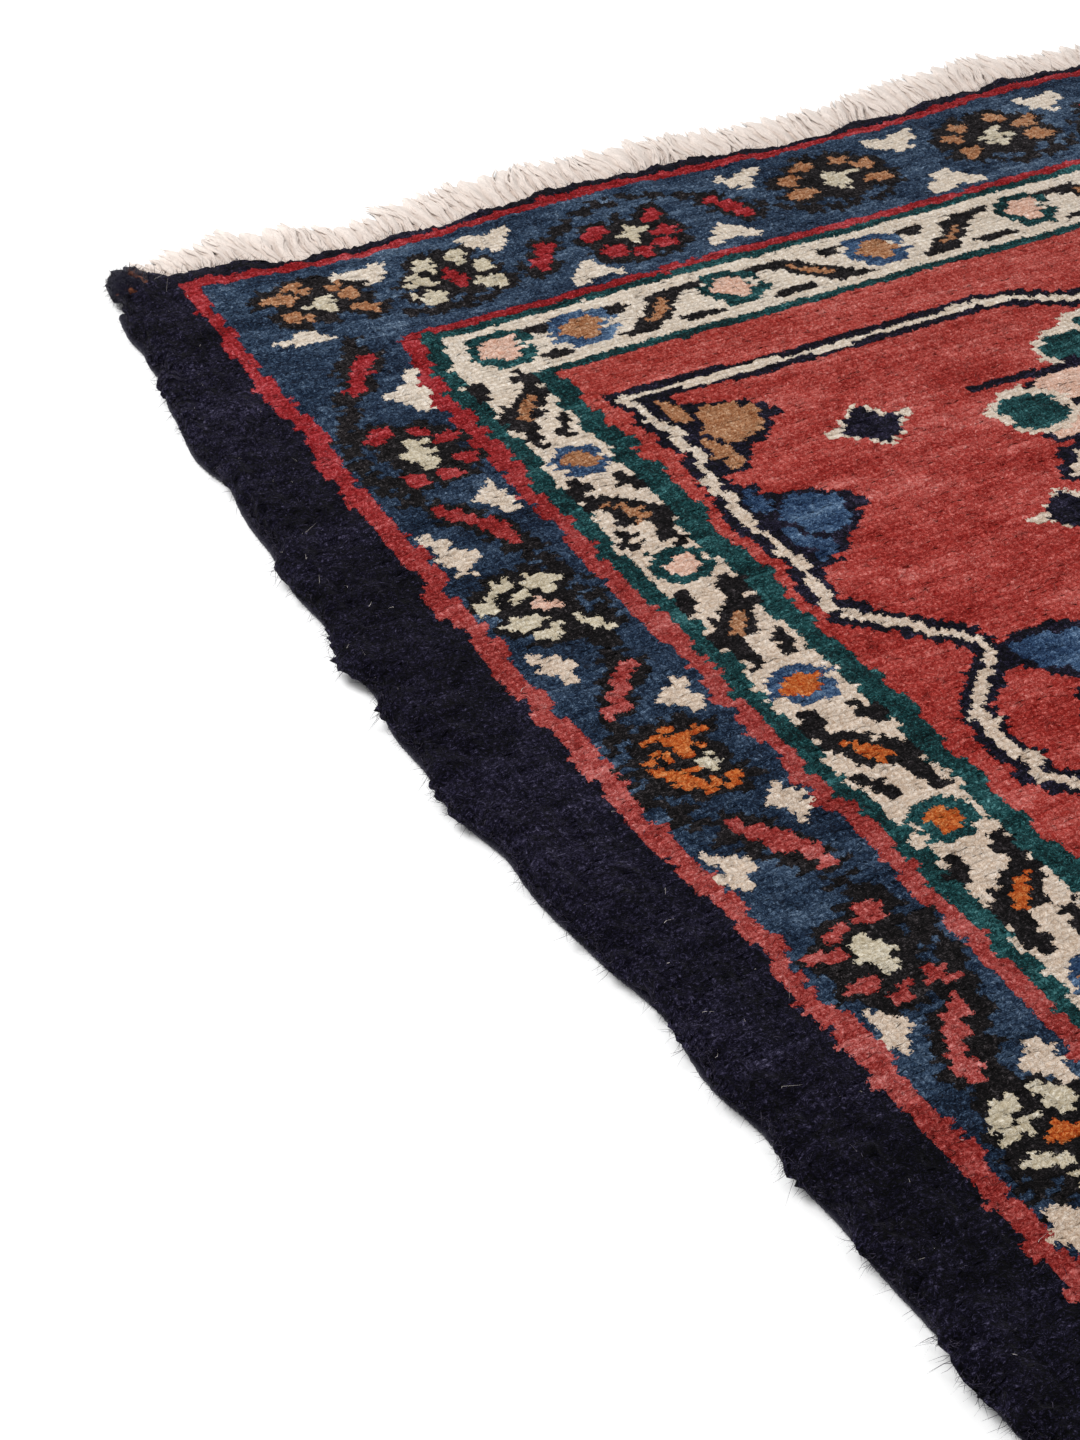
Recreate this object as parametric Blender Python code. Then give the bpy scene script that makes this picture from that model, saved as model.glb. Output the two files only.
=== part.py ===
"""A hand-knotted wool rug, lying flat: a thick pile slab, an overcast cord along each long side,
and a warp fringe at each end. Metres, +Z up; the origin is the middle of the rug, on the floor.

Every place on the rug is first named in knot space, where the rug is a true rectangle, and then
moved by place(), which gives the slightly crooked outline of the real one. The drift is the same
after half a turn about +Z, so the right cord and the near fringe are the left and far ones turned.
"""

import math
import random

import bmesh
import bpy

# Driving dimensions.
KNOT_WIDTH = 0.0035
KNOT_HEIGHT = 0.0030
KNOT_COLUMNS = 289
KNOT_ROWS = 513
THICKNESS = 0.014
GAP = 0.0004

HALF_WIDTH = KNOT_COLUMNS * KNOT_WIDTH / 2
HALF_LENGTH = KNOT_ROWS * KNOT_HEIGHT / 2

# How the long sides wander from straight: a slow bow, a belly, a pulled-in corner and a ripple.
SIDE_BOW = 0.003
SIDE_BOW_LENGTH = 0.85
SIDE_BOW_START = 0.78
BELLY = 0.010
BELLY_AT = 0.345
BELLY_REACH = 0.10
BELLY_DEPTH = 0.05
CORNER_PULL = 0.029
CORNER_PULL_ALONG = 0.12
CORNER_PULL_ACROSS = 0.09
RIPPLE = 0.0014
RIPPLE_LENGTH = 0.094
RIPPLE_DEPTH = 0.020

# How the ends wander: a slow wave, and an ear where the side band is woven further out.
END_WAVE = 0.0045
END_WAVE_LENGTH = 0.31
END_WAVE_START = -0.19
END_WAVE_DEPTH = 0.05
EAR = 0.012
EAR_END = -0.388
EAR_SOFTNESS = 0.012
EAR_DEPTH = 0.012

# The pile's edge: an undercut that holds the cord and the fringe's roots, and a rounded rim above.
UNDERCUT = 0.009
CORNER_RADIUS = 0.014
SIDE_STEPS = 56
END_STEPS = 36
CORNER_STEPS = 4
RIM_PROFILE = (
    {"inset": UNDERCUT, "height": 0.0},
    {"inset": UNDERCUT, "height": 0.0072},
    {"inset": 0.0015, "height": 0.0080},
    {"inset": 0.0, "height": 0.0102},
    {"inset": 0.0030, "height": 0.0130},
    {"inset": 0.0080, "height": THICKNESS},
)

# The overcast cord of each long side, with a wound knob at both of its ends.
CORD_RADIUS = 0.0032
CORD_CLEARANCE = 0.0010
KNOB_RADIUS = 0.0064
KNOB_LENGTH = 0.011
KNOB_STEPS = 5

# The fringe: locks of warp ends, fused at their roots into a narrow strip.
LOCKS = 130
LOCK_LENGTH = 0.044
LOCK_LENGTH_SPREAD = 0.006
LOCK_ROOT_SHARE = 0.70
LOCK_MIDDLE_SHARE = 0.58
LOCK_LEAN = 0.010
STRIP_WIDTH = 0.0055
STRIP_THICKNESS = 0.0030
LOCK_TIP_THICKNESS = 0.0014
FRINGE_END_MARGIN = 0.020

COLLECTION_NAME = "persian_rug"
WOOL_RED = (0.42, 0.075, 0.065, 1.0)
WOOL_NAVY = (0.012, 0.013, 0.028, 1.0)
COTTON_CREAM = (0.76, 0.67, 0.57, 1.0)
WOOL_ROUGHNESS = 0.95


def wave(distance, length, start=0.0):
    """A cosine of this wavelength, at its crest where distance is start."""
    return math.cos(2 * math.pi * (distance - start) / length)


def side_drift(x, y):
    """How far a place near the left side moves along X."""
    from_edge = max(HALF_WIDTH + x, 0.0)
    bow = SIDE_BOW * wave(y, SIDE_BOW_LENGTH, SIDE_BOW_START)
    belly = BELLY * math.exp(-(((y - BELLY_AT) / BELLY_REACH) ** 2) - from_edge / BELLY_DEPTH)
    near_end = math.exp(-max(HALF_LENGTH - y, 0.0) / CORNER_PULL_ALONG)
    pull = CORNER_PULL * near_end * math.exp(-from_edge / CORNER_PULL_ACROSS)
    ripple = wave(y, RIPPLE_LENGTH) + wave(y, 0.61 * RIPPLE_LENGTH, 0.02)
    return bow - belly + pull + RIPPLE * ripple * math.exp(-from_edge / RIPPLE_DEPTH)


def end_drift(x, y):
    """How far a place near the far end moves along Y."""
    from_edge = max(HALF_LENGTH - y, 0.0)
    slow = END_WAVE * wave(x, END_WAVE_LENGTH, END_WAVE_START) * math.exp(-from_edge / END_WAVE_DEPTH)
    ear = 0.5 * EAR * (1 - math.tanh((x - EAR_END) / EAR_SOFTNESS)) * math.exp(-from_edge / EAR_DEPTH)
    ripple = wave(x, 1.3 * RIPPLE_LENGTH) * math.exp(-from_edge / RIPPLE_DEPTH)
    return slow + ear + 0.5 * RIPPLE * ripple


def place(x, y):
    """The world place of a knot-space place; half a turn about +Z leaves the result unchanged."""
    left_share = (HALF_WIDTH - x) / (2 * HALF_WIDTH)
    far_share = (HALF_LENGTH + y) / (2 * HALF_LENGTH)
    across = left_share * side_drift(x, y) - (1 - left_share) * side_drift(-x, -y)
    along = far_share * end_drift(x, y) - (1 - far_share) * end_drift(-x, -y)
    return x + across, y + along


def steps(start, end, count):
    """count places from start towards end, without end itself."""
    return [start + (end - start) * index / count for index in range(count)]


def half_outline(inset):
    """The knot-space outline up the left side and along the far end, rounded at both corners."""
    left = -HALF_WIDTH + inset
    right = HALF_WIDTH - inset
    far = HALF_LENGTH - inset
    radius = CORNER_RADIUS
    points = [(left, y) for y in steps(-far + radius, far - radius, SIDE_STEPS)]
    for turn in steps(0.0, math.pi / 2, CORNER_STEPS):
        points.append((left + radius - radius * math.cos(turn), far - radius + radius * math.sin(turn)))
    points += [(x, far) for x in steps(left + radius, right - radius, END_STEPS)]
    for turn in steps(0.0, math.pi / 2, CORNER_STEPS):
        points.append((right - radius + radius * math.sin(turn), far - radius + radius * math.cos(turn)))
    return points


def outline(inset):
    """The whole outline in world places, clockwise from the near-left corner."""
    half = half_outline(inset)
    knot_space = half + [(-x, -y) for x, y in half]
    return [place(x, y) for x, y in knot_space]


def material(name, colour):
    made = bpy.data.materials.new(name)
    made.use_nodes = True
    shader = made.node_tree.nodes["Principled BSDF"]
    shader.inputs["Base Color"].default_value = colour
    shader.inputs["Roughness"].default_value = WOOL_ROUGHNESS
    shader.inputs["Metallic"].default_value = 0.0
    return made


def add_object(collection, name, data, finish):
    made = bpy.data.objects.new(name, data)
    made.data.materials.append(finish)
    collection.objects.link(made)
    return made


def make_pile(collection, finish):
    """The pile slab: its flat underside, extruded ring by ring up its edge profile."""
    shape = bmesh.new()
    first = RIM_PROFILE[0]
    corners = [shape.verts.new((x, y, first["height"])) for x, y in outline(first["inset"])]
    cap = shape.faces.new(corners)
    underside = cap
    for ring in RIM_PROFILE[1:]:
        made = bmesh.ops.extrude_face_region(shape, geom=[cap])
        if cap is not underside:
            bmesh.ops.delete(shape, geom=[cap], context="FACES_ONLY")
        cap = next(item for item in made["geom"] if isinstance(item, bmesh.types.BMFace))
        for loop, (x, y) in zip(cap.loops, outline(ring["inset"])):
            loop.vert.co = (x, y, ring["height"])
    bmesh.ops.recalc_face_normals(shape, faces=shape.faces)
    mesh = bpy.data.meshes.new("pile")
    shape.to_mesh(mesh)
    shape.free()
    return add_object(collection, "pile", mesh, finish)


def cord_route():
    """Places and radii along the left cord, from its near knob to its far one."""
    route = []
    for wall in half_outline(UNDERCUT)[: SIDE_STEPS + 1]:
        x, y = place(*wall)
        route.append({"x": x - CORD_RADIUS - CORD_CLEARANCE, "y": y, "radius": CORD_RADIUS})
    return route


def knob_steps(corner, towards):
    """Places and radii of the round knob at one end of a cord, centred on corner."""
    steps_made = []
    for index in range(KNOB_STEPS + 1):
        share = index / KNOB_STEPS
        bulge = math.sqrt(max(1 - (2 * share - 1) ** 2, 0.12))
        y = corner[1] + towards * KNOB_LENGTH * (share - 0.5)
        steps_made.append({"x": corner[0], "y": y, "radius": KNOB_RADIUS * bulge})
    return steps_made


def make_cord(collection, name, finish, half_turn):
    """One overcast side cord with its knobs, as a tube of changing radius that rests on the floor."""
    spread = KNOB_RADIUS - CORD_RADIUS
    far_corner = place(-HALF_WIDTH, HALF_LENGTH)
    near_corner = place(-HALF_WIDTH, -HALF_LENGTH)
    far_knob = knob_steps((far_corner[0] - spread, far_corner[1] + spread), 1)
    near_knob = knob_steps((near_corner[0] - spread, near_corner[1] - spread), 1)
    route = near_knob + cord_route() + far_knob
    curve = bpy.data.curves.new(name, "CURVE")
    curve.dimensions = "3D"
    curve.bevel_depth = 1.0
    curve.bevel_resolution = 2
    curve.use_fill_caps = True
    spline = curve.splines.new("POLY")
    spline.points.add(len(route) - 1)
    for point, step in zip(spline.points, route):
        point.co = (step["x"], step["y"], step["radius"], 1.0)
        point.radius = step["radius"]
    cord = add_object(collection, name, curve, finish)
    cord.rotation_euler.z = math.pi if half_turn else 0.0
    return cord


def lock_outline(left, right, chance):
    """Five places round one lock: its root's left, middle left, tip, middle right, root's right."""
    root_y = HALF_LENGTH - UNDERCUT + STRIP_WIDTH
    middle = (left + right) / 2
    half = (right - left) / 2 * LOCK_ROOT_SHARE
    length = LOCK_LENGTH + chance.uniform(-LOCK_LENGTH_SPREAD, LOCK_LENGTH_SPREAD / 2)
    clump = 0.5 * (wave(middle, 0.11) + wave(middle, 0.047, 0.01))
    lean = LOCK_LEAN * clump
    half_way = root_y + length * LOCK_MIDDLE_SHARE
    return [
        (middle - half, root_y),
        (middle - 0.8 * half + 0.45 * lean, half_way),
        (middle + lean, root_y + length),
        (middle + 0.8 * half + 0.45 * lean, half_way),
        (middle + half, root_y),
    ]


def fringe_outline():
    """The comb-shaped outline of one fringe in knot space, and which of its places are lock tips."""
    chance = random.Random(11)
    back_y = HALF_LENGTH - UNDERCUT + 3 * GAP
    left = -HALF_WIDTH + FRINGE_END_MARGIN
    pitch = -2 * left / LOCKS
    places = []
    tips = []
    for index in range(LOCKS):
        lock = lock_outline(left + index * pitch, left + (index + 1) * pitch, chance)
        tips.append(len(places) + 2)
        places += lock
    places += [(x, back_y) for x in steps(-left, left, END_STEPS)]
    places.append((left, back_y))
    return places, tips


def make_fringe(collection, name, finish, half_turn):
    """One end's fringe: the comb outline extruded to the strip's thickness, thinner at the tips."""
    places, tips = fringe_outline()
    shape = bmesh.new()
    lower = [shape.verts.new((*place(x, y), 0.0)) for x, y in places]
    base = shape.faces.new(lower)
    made = bmesh.ops.extrude_face_region(shape, geom=[base])
    lid = next(item for item in made["geom"] if isinstance(item, bmesh.types.BMFace))
    for corner in lid.verts:
        corner.co.z = STRIP_THICKNESS
    tip_places = {(round(lower[index].co.x, 6), round(lower[index].co.y, 6)) for index in tips}
    for corner in lid.verts:
        if (round(corner.co.x, 6), round(corner.co.y, 6)) in tip_places:
            corner.co.z = LOCK_TIP_THICKNESS
    bmesh.ops.recalc_face_normals(shape, faces=shape.faces)
    mesh = bpy.data.meshes.new(name)
    shape.to_mesh(mesh)
    shape.free()
    fringe = add_object(collection, name, mesh, finish)
    fringe.rotation_euler.z = math.pi if half_turn else 0.0
    return fringe


def main():
    for leftover in list(bpy.data.objects):
        bpy.data.objects.remove(leftover, do_unlink=True)
    collection = bpy.data.collections.new(COLLECTION_NAME)
    bpy.context.scene.collection.children.link(collection)
    pile_wool = material("pile_wool", WOOL_RED)
    cord_wool = material("cord_wool", WOOL_NAVY)
    fringe_cotton = material("fringe_cotton", COTTON_CREAM)
    make_pile(collection, pile_wool)
    make_cord(collection, "side_cord_left", cord_wool, half_turn=False)
    make_cord(collection, "side_cord_right", cord_wool, half_turn=True)
    make_fringe(collection, "fringe_far", fringe_cotton, half_turn=False)
    make_fringe(collection, "fringe_near", fringe_cotton, half_turn=True)


main()
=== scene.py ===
"""The looks of the hand-knotted wool rug: every knot of the pile, its woven back, the overcast side
cords, the cotton fringe and the loose fibres, with a pale floor, soft light and a camera.

Metres, +Z up, in the CAD frame. The pattern is charted in knots: row 0 is the far end's first row
and column 0 is the left side's first column.
"""

import math
from collections import namedtuple

import bpy
import numpy as np
from mathutils import Matrix, Vector


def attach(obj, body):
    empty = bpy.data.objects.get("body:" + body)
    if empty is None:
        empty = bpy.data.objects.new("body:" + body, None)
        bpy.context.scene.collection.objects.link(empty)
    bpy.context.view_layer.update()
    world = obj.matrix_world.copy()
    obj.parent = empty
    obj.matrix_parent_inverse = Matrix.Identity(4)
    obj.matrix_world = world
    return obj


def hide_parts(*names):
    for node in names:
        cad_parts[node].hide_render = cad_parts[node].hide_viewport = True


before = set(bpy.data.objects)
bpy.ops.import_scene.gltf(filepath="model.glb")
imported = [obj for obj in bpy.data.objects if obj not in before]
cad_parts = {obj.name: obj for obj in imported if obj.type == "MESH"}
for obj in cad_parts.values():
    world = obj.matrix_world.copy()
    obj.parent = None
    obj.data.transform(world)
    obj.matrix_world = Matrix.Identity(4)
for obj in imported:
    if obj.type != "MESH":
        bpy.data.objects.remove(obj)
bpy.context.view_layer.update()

# The knot grid and the thicknesses, as the solids have them.
KNOT_WIDTH = 0.0035
KNOT_HEIGHT = 0.0030
COLUMNS = 289
ROWS = 513
THICKNESS = 0.014
HALF_WIDTH = COLUMNS * KNOT_WIDTH / 2
HALF_LENGTH = ROWS * KNOT_HEIGHT / 2
MIDDLE_COLUMN = COLUMNS // 2
MIDDLE_ROW = ROWS // 2

# How the outline wanders from straight, as the solids have it.
SIDE_BOW = 0.003
SIDE_BOW_LENGTH = 0.85
SIDE_BOW_START = 0.78
BELLY = 0.010
BELLY_AT = 0.345
BELLY_REACH = 0.10
BELLY_DEPTH = 0.05
CORNER_PULL = 0.029
CORNER_PULL_ALONG = 0.12
CORNER_PULL_ACROSS = 0.055
RIPPLE = 0.0014
RIPPLE_LENGTH = 0.094
SHORT_RIPPLE = 0.61
SHORT_RIPPLE_START = 0.02
END_RIPPLE = 1.3
RIPPLE_DEPTH = 0.020
END_WAVE = 0.0045
END_WAVE_LENGTH = 0.31
END_WAVE_START = -0.19
END_WAVE_DEPTH = 0.05
EAR = 0.012
EAR_END = -0.388
EAR_SOFTNESS = 0.012
EAR_DEPTH = 0.012

# Where, in the looks alone, the side bulges out or, below 0, is hollow: how far from its far corner,
# its reach and its depth.
SIDE_SWELLS = (
    (0.044, 0.012, -0.0050),
    (0.074, 0.017, -0.0068),
    (0.127, 0.022, 0.0042),
    (0.168, 0.016, -0.0042),
    (0.342, 0.016, -0.0032),
    (0.455, 0.024, -0.0046),
    (0.556, 0.026, -0.0066),
    (0.639, 0.020, -0.0034),
    (0.724, 0.020, -0.0034),
)
SIDE_SWELL_DEPTH = 0.035

# The pile's surface: each knot is a tuft with a raised crown, and the edge rounds over.
UNDERCUT = 0.009
CORNER_RADIUS = 0.014
RIM_HEIGHT = 0.0102
RIM_DEPTH = 0.010
TUFT_DIP = 0.0006
TUFT_CROWN = 0.0002
TUFT_LEAN = 0.0006
TUFT_SCATTER = 0.00055
TUFT_UNEVEN = 0.00026
ROW_UNEVEN = 0.00015
TUFT_LUMP = 0.00030
EDGE_LUMP = 0.0016
EDGE_LUMP_DEPTH = 0.034
# Layers of noise over the knots: how far each reaches down and along, in knots, and how much it counts.
TUFT_LUMPS = ((3, 2, 0.75), (1, 1, 0.65))
TUFT_LUMP_LIMITS = (-2, 1.6)
RIM_LUMPS = ((3, 3, 1.0), (1, 1, 0.55))
# The ends lie as calm as a place this far in from a side.
END_CALM = 0.042
# The whole pile swells faintly: how high, and how far apart the waves are.
SWELL = 0.0004
SWELL_ACROSS = 0.21
SWELL_ACROSS_START = 0.03
SWELL_ALONG = 0.17
# The woven back lies just over the floor, every second place a little higher.
BACK_LEVEL = 0.0004
BACK_WEAVE = 0.00025
# The rings that carry the edge round and under: how far in each lies, how high and how loosely.
RIM_RINGS = (
    (-0.0010, 0.0094, 1.0),
    (-0.0013, 0.0081, 1.0),
    (-0.0008, 0.0067, 1.0),
    (0.0008, 0.0056, 0.6),
    (0.0045, 0.0068, 0.0),
    (0.0088, 0.0068, 0.0),
    (0.0090, 0.0004, 0.0),
)
RIM_SCATTER = 0.0007
RIM_LUMP = 0.0017
RIM_LUMP_DEPTH = 0.007
# The side bulges between the wraps that pull it in near each corner.
CORNER_BULGE = 0.0050
CORNER_BULGE_LENGTH = 0.025
CORNER_BULGE_START = 0.6
CORNER_BULGE_REACH = 0.07
EDGE_TRIM = 0.0030
# Ribs that the overcast yarn leaves across the side of the pile, strongest a little below a corner.
RIB_LENGTH = 0.0064
RIB_SLANT = 0.35
RIB_DEPTH = 0.013
RIB_AT = 0.085
RIB_REACH = 0.060

# Wool and cotton colours as the eye sees them, from 0 to 255, each with its letter in the charts.
YARNS = {
    "N": (13, 11, 25),
    "R": (139, 36, 40),
    "F": (158, 68, 61),
    "B": (42, 58, 78),
    "D": (46, 68, 96),
    "G": (18, 56, 58),
    "C": (199, 187, 173),
    "W": (184, 174, 154),
    "O": (153, 109, 78),
    "T": (167, 85, 36),
    "P": (198, 164, 147),
    "K": (24, 21, 22),
}
# What these yarns turn to away from the ends: the red line's dye lot turns salmon, the field's red is
# painted deeper as shade, and the cream and the dark brown deepen a little.
MIDDLE_DYE_AND_SHADE = {"R": (144, 59, 55), "F": (149, 54, 48), "C": (192, 175, 159), "K": (18, 15, 16)}
MIDDLE_DYE_AND_SHADE_START = 55
MIDDLE_DYE_AND_SHADE_ROWS = 65
# The border's blue is deeper along the sides than along the ends, as a power, over so many knots.
SIDE_DEPTH = 0.13
SIDE_DEPTH_KNOTS = 14

# How much the yarns vary, as powers: by knot, by row, in dye lots and in small patches.
KNOT_SPREAD = 0.050
ROW_SPREAD = 0.014
LOTS = ((26, 26, 0.036),)
PATCHES = ((0, 2, 0.6), (1, 4, 0.6), (4, 9, 0.55))
PATCH_SPREAD = {"B": 0.13, "D": 0.12, "G": 0.11, "R": 0.100, "F": 0.105, "N": 0.070, "K": 0.03}
OTHER_PATCH_SPREAD = 0.025
MOST_SPREAD = 0.32
SLIPS_ACROSS = ((1, 3, 0.40), (5, 9, 0.34))
SLIPS_DOWN = ((2, 2, 0.20),)
OUTLINE_SPREAD = 0.45
PETAL_NIBBLE = 0.22
VINE_SHARE = 0.75

# The stripes, from the outside in: the column and the row where each starts.
Stripe = namedtuple("Stripe", "column row yarn")
BAND = Stripe(0, 0, "N")
RED_LINE = Stripe(15, 3, "R")
BORDER = Stripe(18, 5, "B")
GUARD_LINE = Stripe(37, 33, "R")
GUARD = Stripe(40, 35, "G")
CREAM_GROUND = Stripe(43, 37, "C")
GREEN_LINE = Stripe(54, 53, "G")
FIELD = Stripe(58, 55, "F")
STRIPES = (BAND, RED_LINE, BORDER, GUARD_LINE, GUARD, CREAM_GROUND, GREEN_LINE, FIELD)
# The guard's outer lines lean in at the far left corner, and at the corner half a turn round.
GUARD_LEAN = 3.5
GUARD_LEAN_ROWS = (33, 55)
GUARD_LEAN_WIDTH = 9

# Charts, a letter a knot: P a petal, H a flower's heart, L a leaf, and F and M a square's frame
# and middle. A dot leaves the knot below.
END_FLOWER = """
.......KKKKK..KKKK.....
......KKPPKKKKPPPKK....
.....KKPPPPKKKPPPPK....
.....KPPPPKKKKPPPPK....
..KKKKKPPKKKKKKPPKKKKK.
.KPPPPKKKKKKKKKKKPPPPKK
KPPPPPPKKKHHKKKKKPPPPPK
KPPPPPPKKKHHHKKKKPPPPKK
KKPPPKKKKKHHHHHHKKPPKKK
.KKKKKKKHHHHHHHHKKKKKK.
KKPPPKKKHHHHHHKKKKKKKK.
KPPPPPPKKKHHHHHKKPPPPKK
KPPPPPPKKKKHHKKKPPPPPPK
.KPPPPKKKKKHHKKKKPPPPK.
..KKKKKKKKKKKKKKKKKKK..
...KK...KKKKKKK..KKKK..
.........KKKK..........
""".split()
SMALL_FLOWER = """
......KKKK........
.....KKPPK.KKK....
..KKKKPPPKKKKKKK..
.KKPPKKPPPKKPPPKK.
KKPPPPKKPKKPPPPKK.
KPPPPPKKKKKPPPKKK.
KKPPPPKKKHKKKKPPPK
.KKPPKKKKHHKKPPPPK
..KKKKKKHHHKKPPPPK
.KKKKKHHHHHHKKPPKK
KKPPPKKKHHHHKKKKK.
KPPPPPKKKHHKKKKKK.
KPPPPPKKKHHKKPPPK.
KKPPPKKKKKKKKPPPPK
.KKKKK.KKKK.KKPPPK
...KK...KK...KKPPK
..............KKK.
""".split()
WHITE_FLOWER = """
.....KKKK..KKKK...
....KPPPPKKKPPPK..
....KPPPPKKPPPPK..
...KPPPPPKKPPPPK..
..KKPPPPKKKPPPK...
.KPPKKPPKKKKPPKKK.
KPPPPKKPKHKKKKKPPK
KPPPPPKKKHHKKKPPPK
KPPPPPKKHHHKKKPPPK
.KPPPPKKHHHHKKKPPK
..KKKKKKHHHHKKKKK.
KPPPPKKKKHHKKPPPK.
KPPPPPKKKHHKPPPPPK
.KPPPPPKKKKKKPPPPP
.KPPPPKKKKKKKPPPPP
..KPPPK......KPPPK
...KKK........KKK.
""".split()
ROSE = """
....KKKKKKKK..
...KPPPKKPPK..
..KPPPPKKPPPK.
.KPPPPPKKPPPPK
.KPPPPKKKPPPPK
KPPPKKPPKKPPPK
KPPPKPPPKKPPKK
KPPPKKPKHKKKK.
.KKKKKKHHHKKK.
.KKKKKHHHHHKK.
KPPPKKKHHHHK..
KPPPPPKKHHKK..
KKPPPPPKKKKKK.
.KKPPPKKKKPPK.
..KKKKPPPKPPPK
...KPPPPPKPPPP
...KPPPPPKKPPP
...KKPPPKKKPPP
....KKKKKKKKPP
..........KKKK
""".split()
SIDE_FLOWER = """
..KKKK.........
.KKPPPK........
KKPPPPKKKKK....
.KPPPPKKPPKK...
.KKPPKKKPPPKK..
..KKKKKKKPPKKK.
..KKKKHHKKKPPPK
..KKKKHHHKPPPPK
..KKKHHHHKPPPKK
..KKHHHHHKKKKK.
..KKHHHHHHKKK..
..KKKHHHHKKKK..
..KKKHHHHKKKKK.
...KKKHHKKPPPPK
..KKKKHKKKPPPPK
.KPPKKKKKKKPPKK
.KPPPKKPPKKKKK.
KKPPPKKPPPKK...
KPPPKKKPPPPK...
.KKKK.KKKKKK...
""".split()
LOW_FLOWER = """
...KKKKKKKKK..
...KKPPPPKKKK.
..KKPPPPPKPPK.
..KKKPPPPPPPK.
.KKKKPPPPPPKK.
.KPPPKPPPPKK..
.KPPPPPPPPKK..
.KKKPPPPKHKK..
.KPPKKKKHHKK..
.KPPPKKHHHKK..
.KPPPPPHHHHK..
.KPPPPKHHHKK..
.KKPPPKKHKKK..
..KKKPPKPKPPK.
...KKPPPPKPPPK
....KKPPPKPPPK
.....KKKKKKKK.
""".split()
LEAF = """
KKK......
KLLK.....
KLLKK....
KLLLLK...
.KLLLK...
.KLLLLK..
..KLLLK..
..KLLLLK.
...KLLLK.
...KLLLLK
....KLLLK
....KLLLK
....KLLLK
.....KLLK
.....KLLK
.....KKK.
""".split()
LEANING_LEAF = """
.......KKK.
......KKLLK
......KLLLK
.....KLLLK.
....KLLLKK.
..KKLLLKK..
..KLLLLK...
.KLLLLK....
.KLLLK.....
KLLLLK.....
KLLLK......
KLKK.......
KK.........
""".split()
BUD = """
.....KKK
....KLLK
....KLLK
...KLLLK
...KLLLK
..KLLLLK
..KLLLK.
.KLLLK..
.KLLLK..
.KLLK...
.KKKK...
""".split()
SPIKE = """
CC...
CC...
CCC..
CCC..
CC...
CCC..
CCCC.
CCCCC
CCCCC
.CCCC
.CCC.
.CC..
..C..
""".split()
SMALL_HOOK = """
C....
CC...
CCC..
.CCC.
.CCCC
.CCCC
.CCC.
..CC.
..CC.
""".split()
END_HOOK = """
CC....CCC
CCCCCCCCC
CCCCCCCC.
.CCCCCC..
..CCCCC..
...CCC...
...CC....
""".split()
SLIVER = """
...CCCC..
CCCCCCC..
.CCCCCCC.
...CCCCCC
""".split()
TALL_HOOK = """
.....CC
....CCC
....CC.
....CC.
..CCCC.
CCCCCC.
CCCCCC.
.CCCCC.
.CCCCC.
..CCCC.
...CC..
...CC..
....C..
""".split()
SIDE_HOOK = """
....C.
...CC.
..CCC.
.CCCC.
CCCCC.
.CCCCC
..CCCC
...CC.
...CC.
""".split()
SLIM_HOOK = """
...C.
..CC.
.CCC.
CCCC.
CCCC.
.CCCC
..CCC
..CC.
..C..
""".split()
END_SQUARE = """
..FFFFFF...
.FFFFFFFFF.
.FFFMMMMFFF
FFFMMMMMFFF
FFMMMMMM.FF
FFMMMMMMF..
FFMMMMMM.F.
FFFMMMMFFFF
.FFFMMMFFF.
..FFFFFFF..
..FFFFFF...
""".split()
SIDE_SQUARE = """
..FFFFF..
.FFFFFFF.
FFFMMMFFF
FFMMMMMFF
FFMMMMMF.
FFMMMMMFF
.FFMMMFFF
.FFFFFFF.
..FFFFF..
""".split()
SIDE_ESS = """
.KK........
.KK.....KK.
KKKK....KK.
KKKK....KKK
KKK.....KKK
KKK......KK
.KKKK....KK
KKKKKK.....
KKKOKKK....
.KKOOKK.K..
..KKOOKKK..
..KKOOOKKK.
...KKOOKKKK
...KKKOOKKK
....KKOKKKK
.K.....KKKK
.KK....KKK.
.KKK...KKK.
.KK....KKK.
.KKK...KKK.
..KK...KKK.
..KK....KK.
........KK.
""".split()
END_ESS = """
KKKKK......KKKKKKKK
.KKKKK...KKKKKKKKK.
..KKK....KKOKKK....
........KKOOK......
.......KKOOKK......
......KKOOKK.......
.....KKOOKK........
....KKOOKK.........
...KKKKKK..........
KKKKKKKK...KKKKKKK.
KKKKKKK.....KKKKKKK
""".split()
CORNER_ESS = """
KKKKKK.
.KKKKK.
..KK...
.......
.......
.......
.......
.......
..KKK..
.KKKKKK
KKKKKK.
""".split()
PALMETTE = """
NNNN..............
NLLNN.............
NLLLN.............
NLLLN.............
NLLLLNN...........
NLLLLNNNN.........
NNLLLNNLLNNN......
NNLLLNLLLLLLNN....
NNNLLNLLLLLLLNN...
NNNNNLLLLLLLLLLNN.
NNNNNLLLLLLLLLLNN.
NNNNLLLLLLLLLLLNNN
NNNNLLLLLLLLLLNNNN
NNNNNLLLLLLLLLNNNN
NNLLNLLLLLLLLNN...
NLLLLNLLLLLLLNN...
NLLLLNLLLLLLNN....
NNLLLNNLLLNNN.....
NNLLLLNNNNNN......
.NLLLLNNN.........
.NNLLLNN..........
.NNLLLNN..........
..NLLLN...........
..NLLN............
..NNNN............
""".split()
STAR = """
.......C.......
......CNC......
.....CNNNC.....
....CNNNNNC....
...CNNNNNNNC...
CCCNNNNNNNNNCCC
CCNNNNNNNNNNNCC
..CNNNNNNNNNC..
...CNNNNNNNC...
....CNNNNNC....
.....CNNNC.....
......CNC......
.......C.......
""".split()


def mirrored(chart):
    """The chart with left and right swapped."""
    return [line[::-1] for line in chart]


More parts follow.
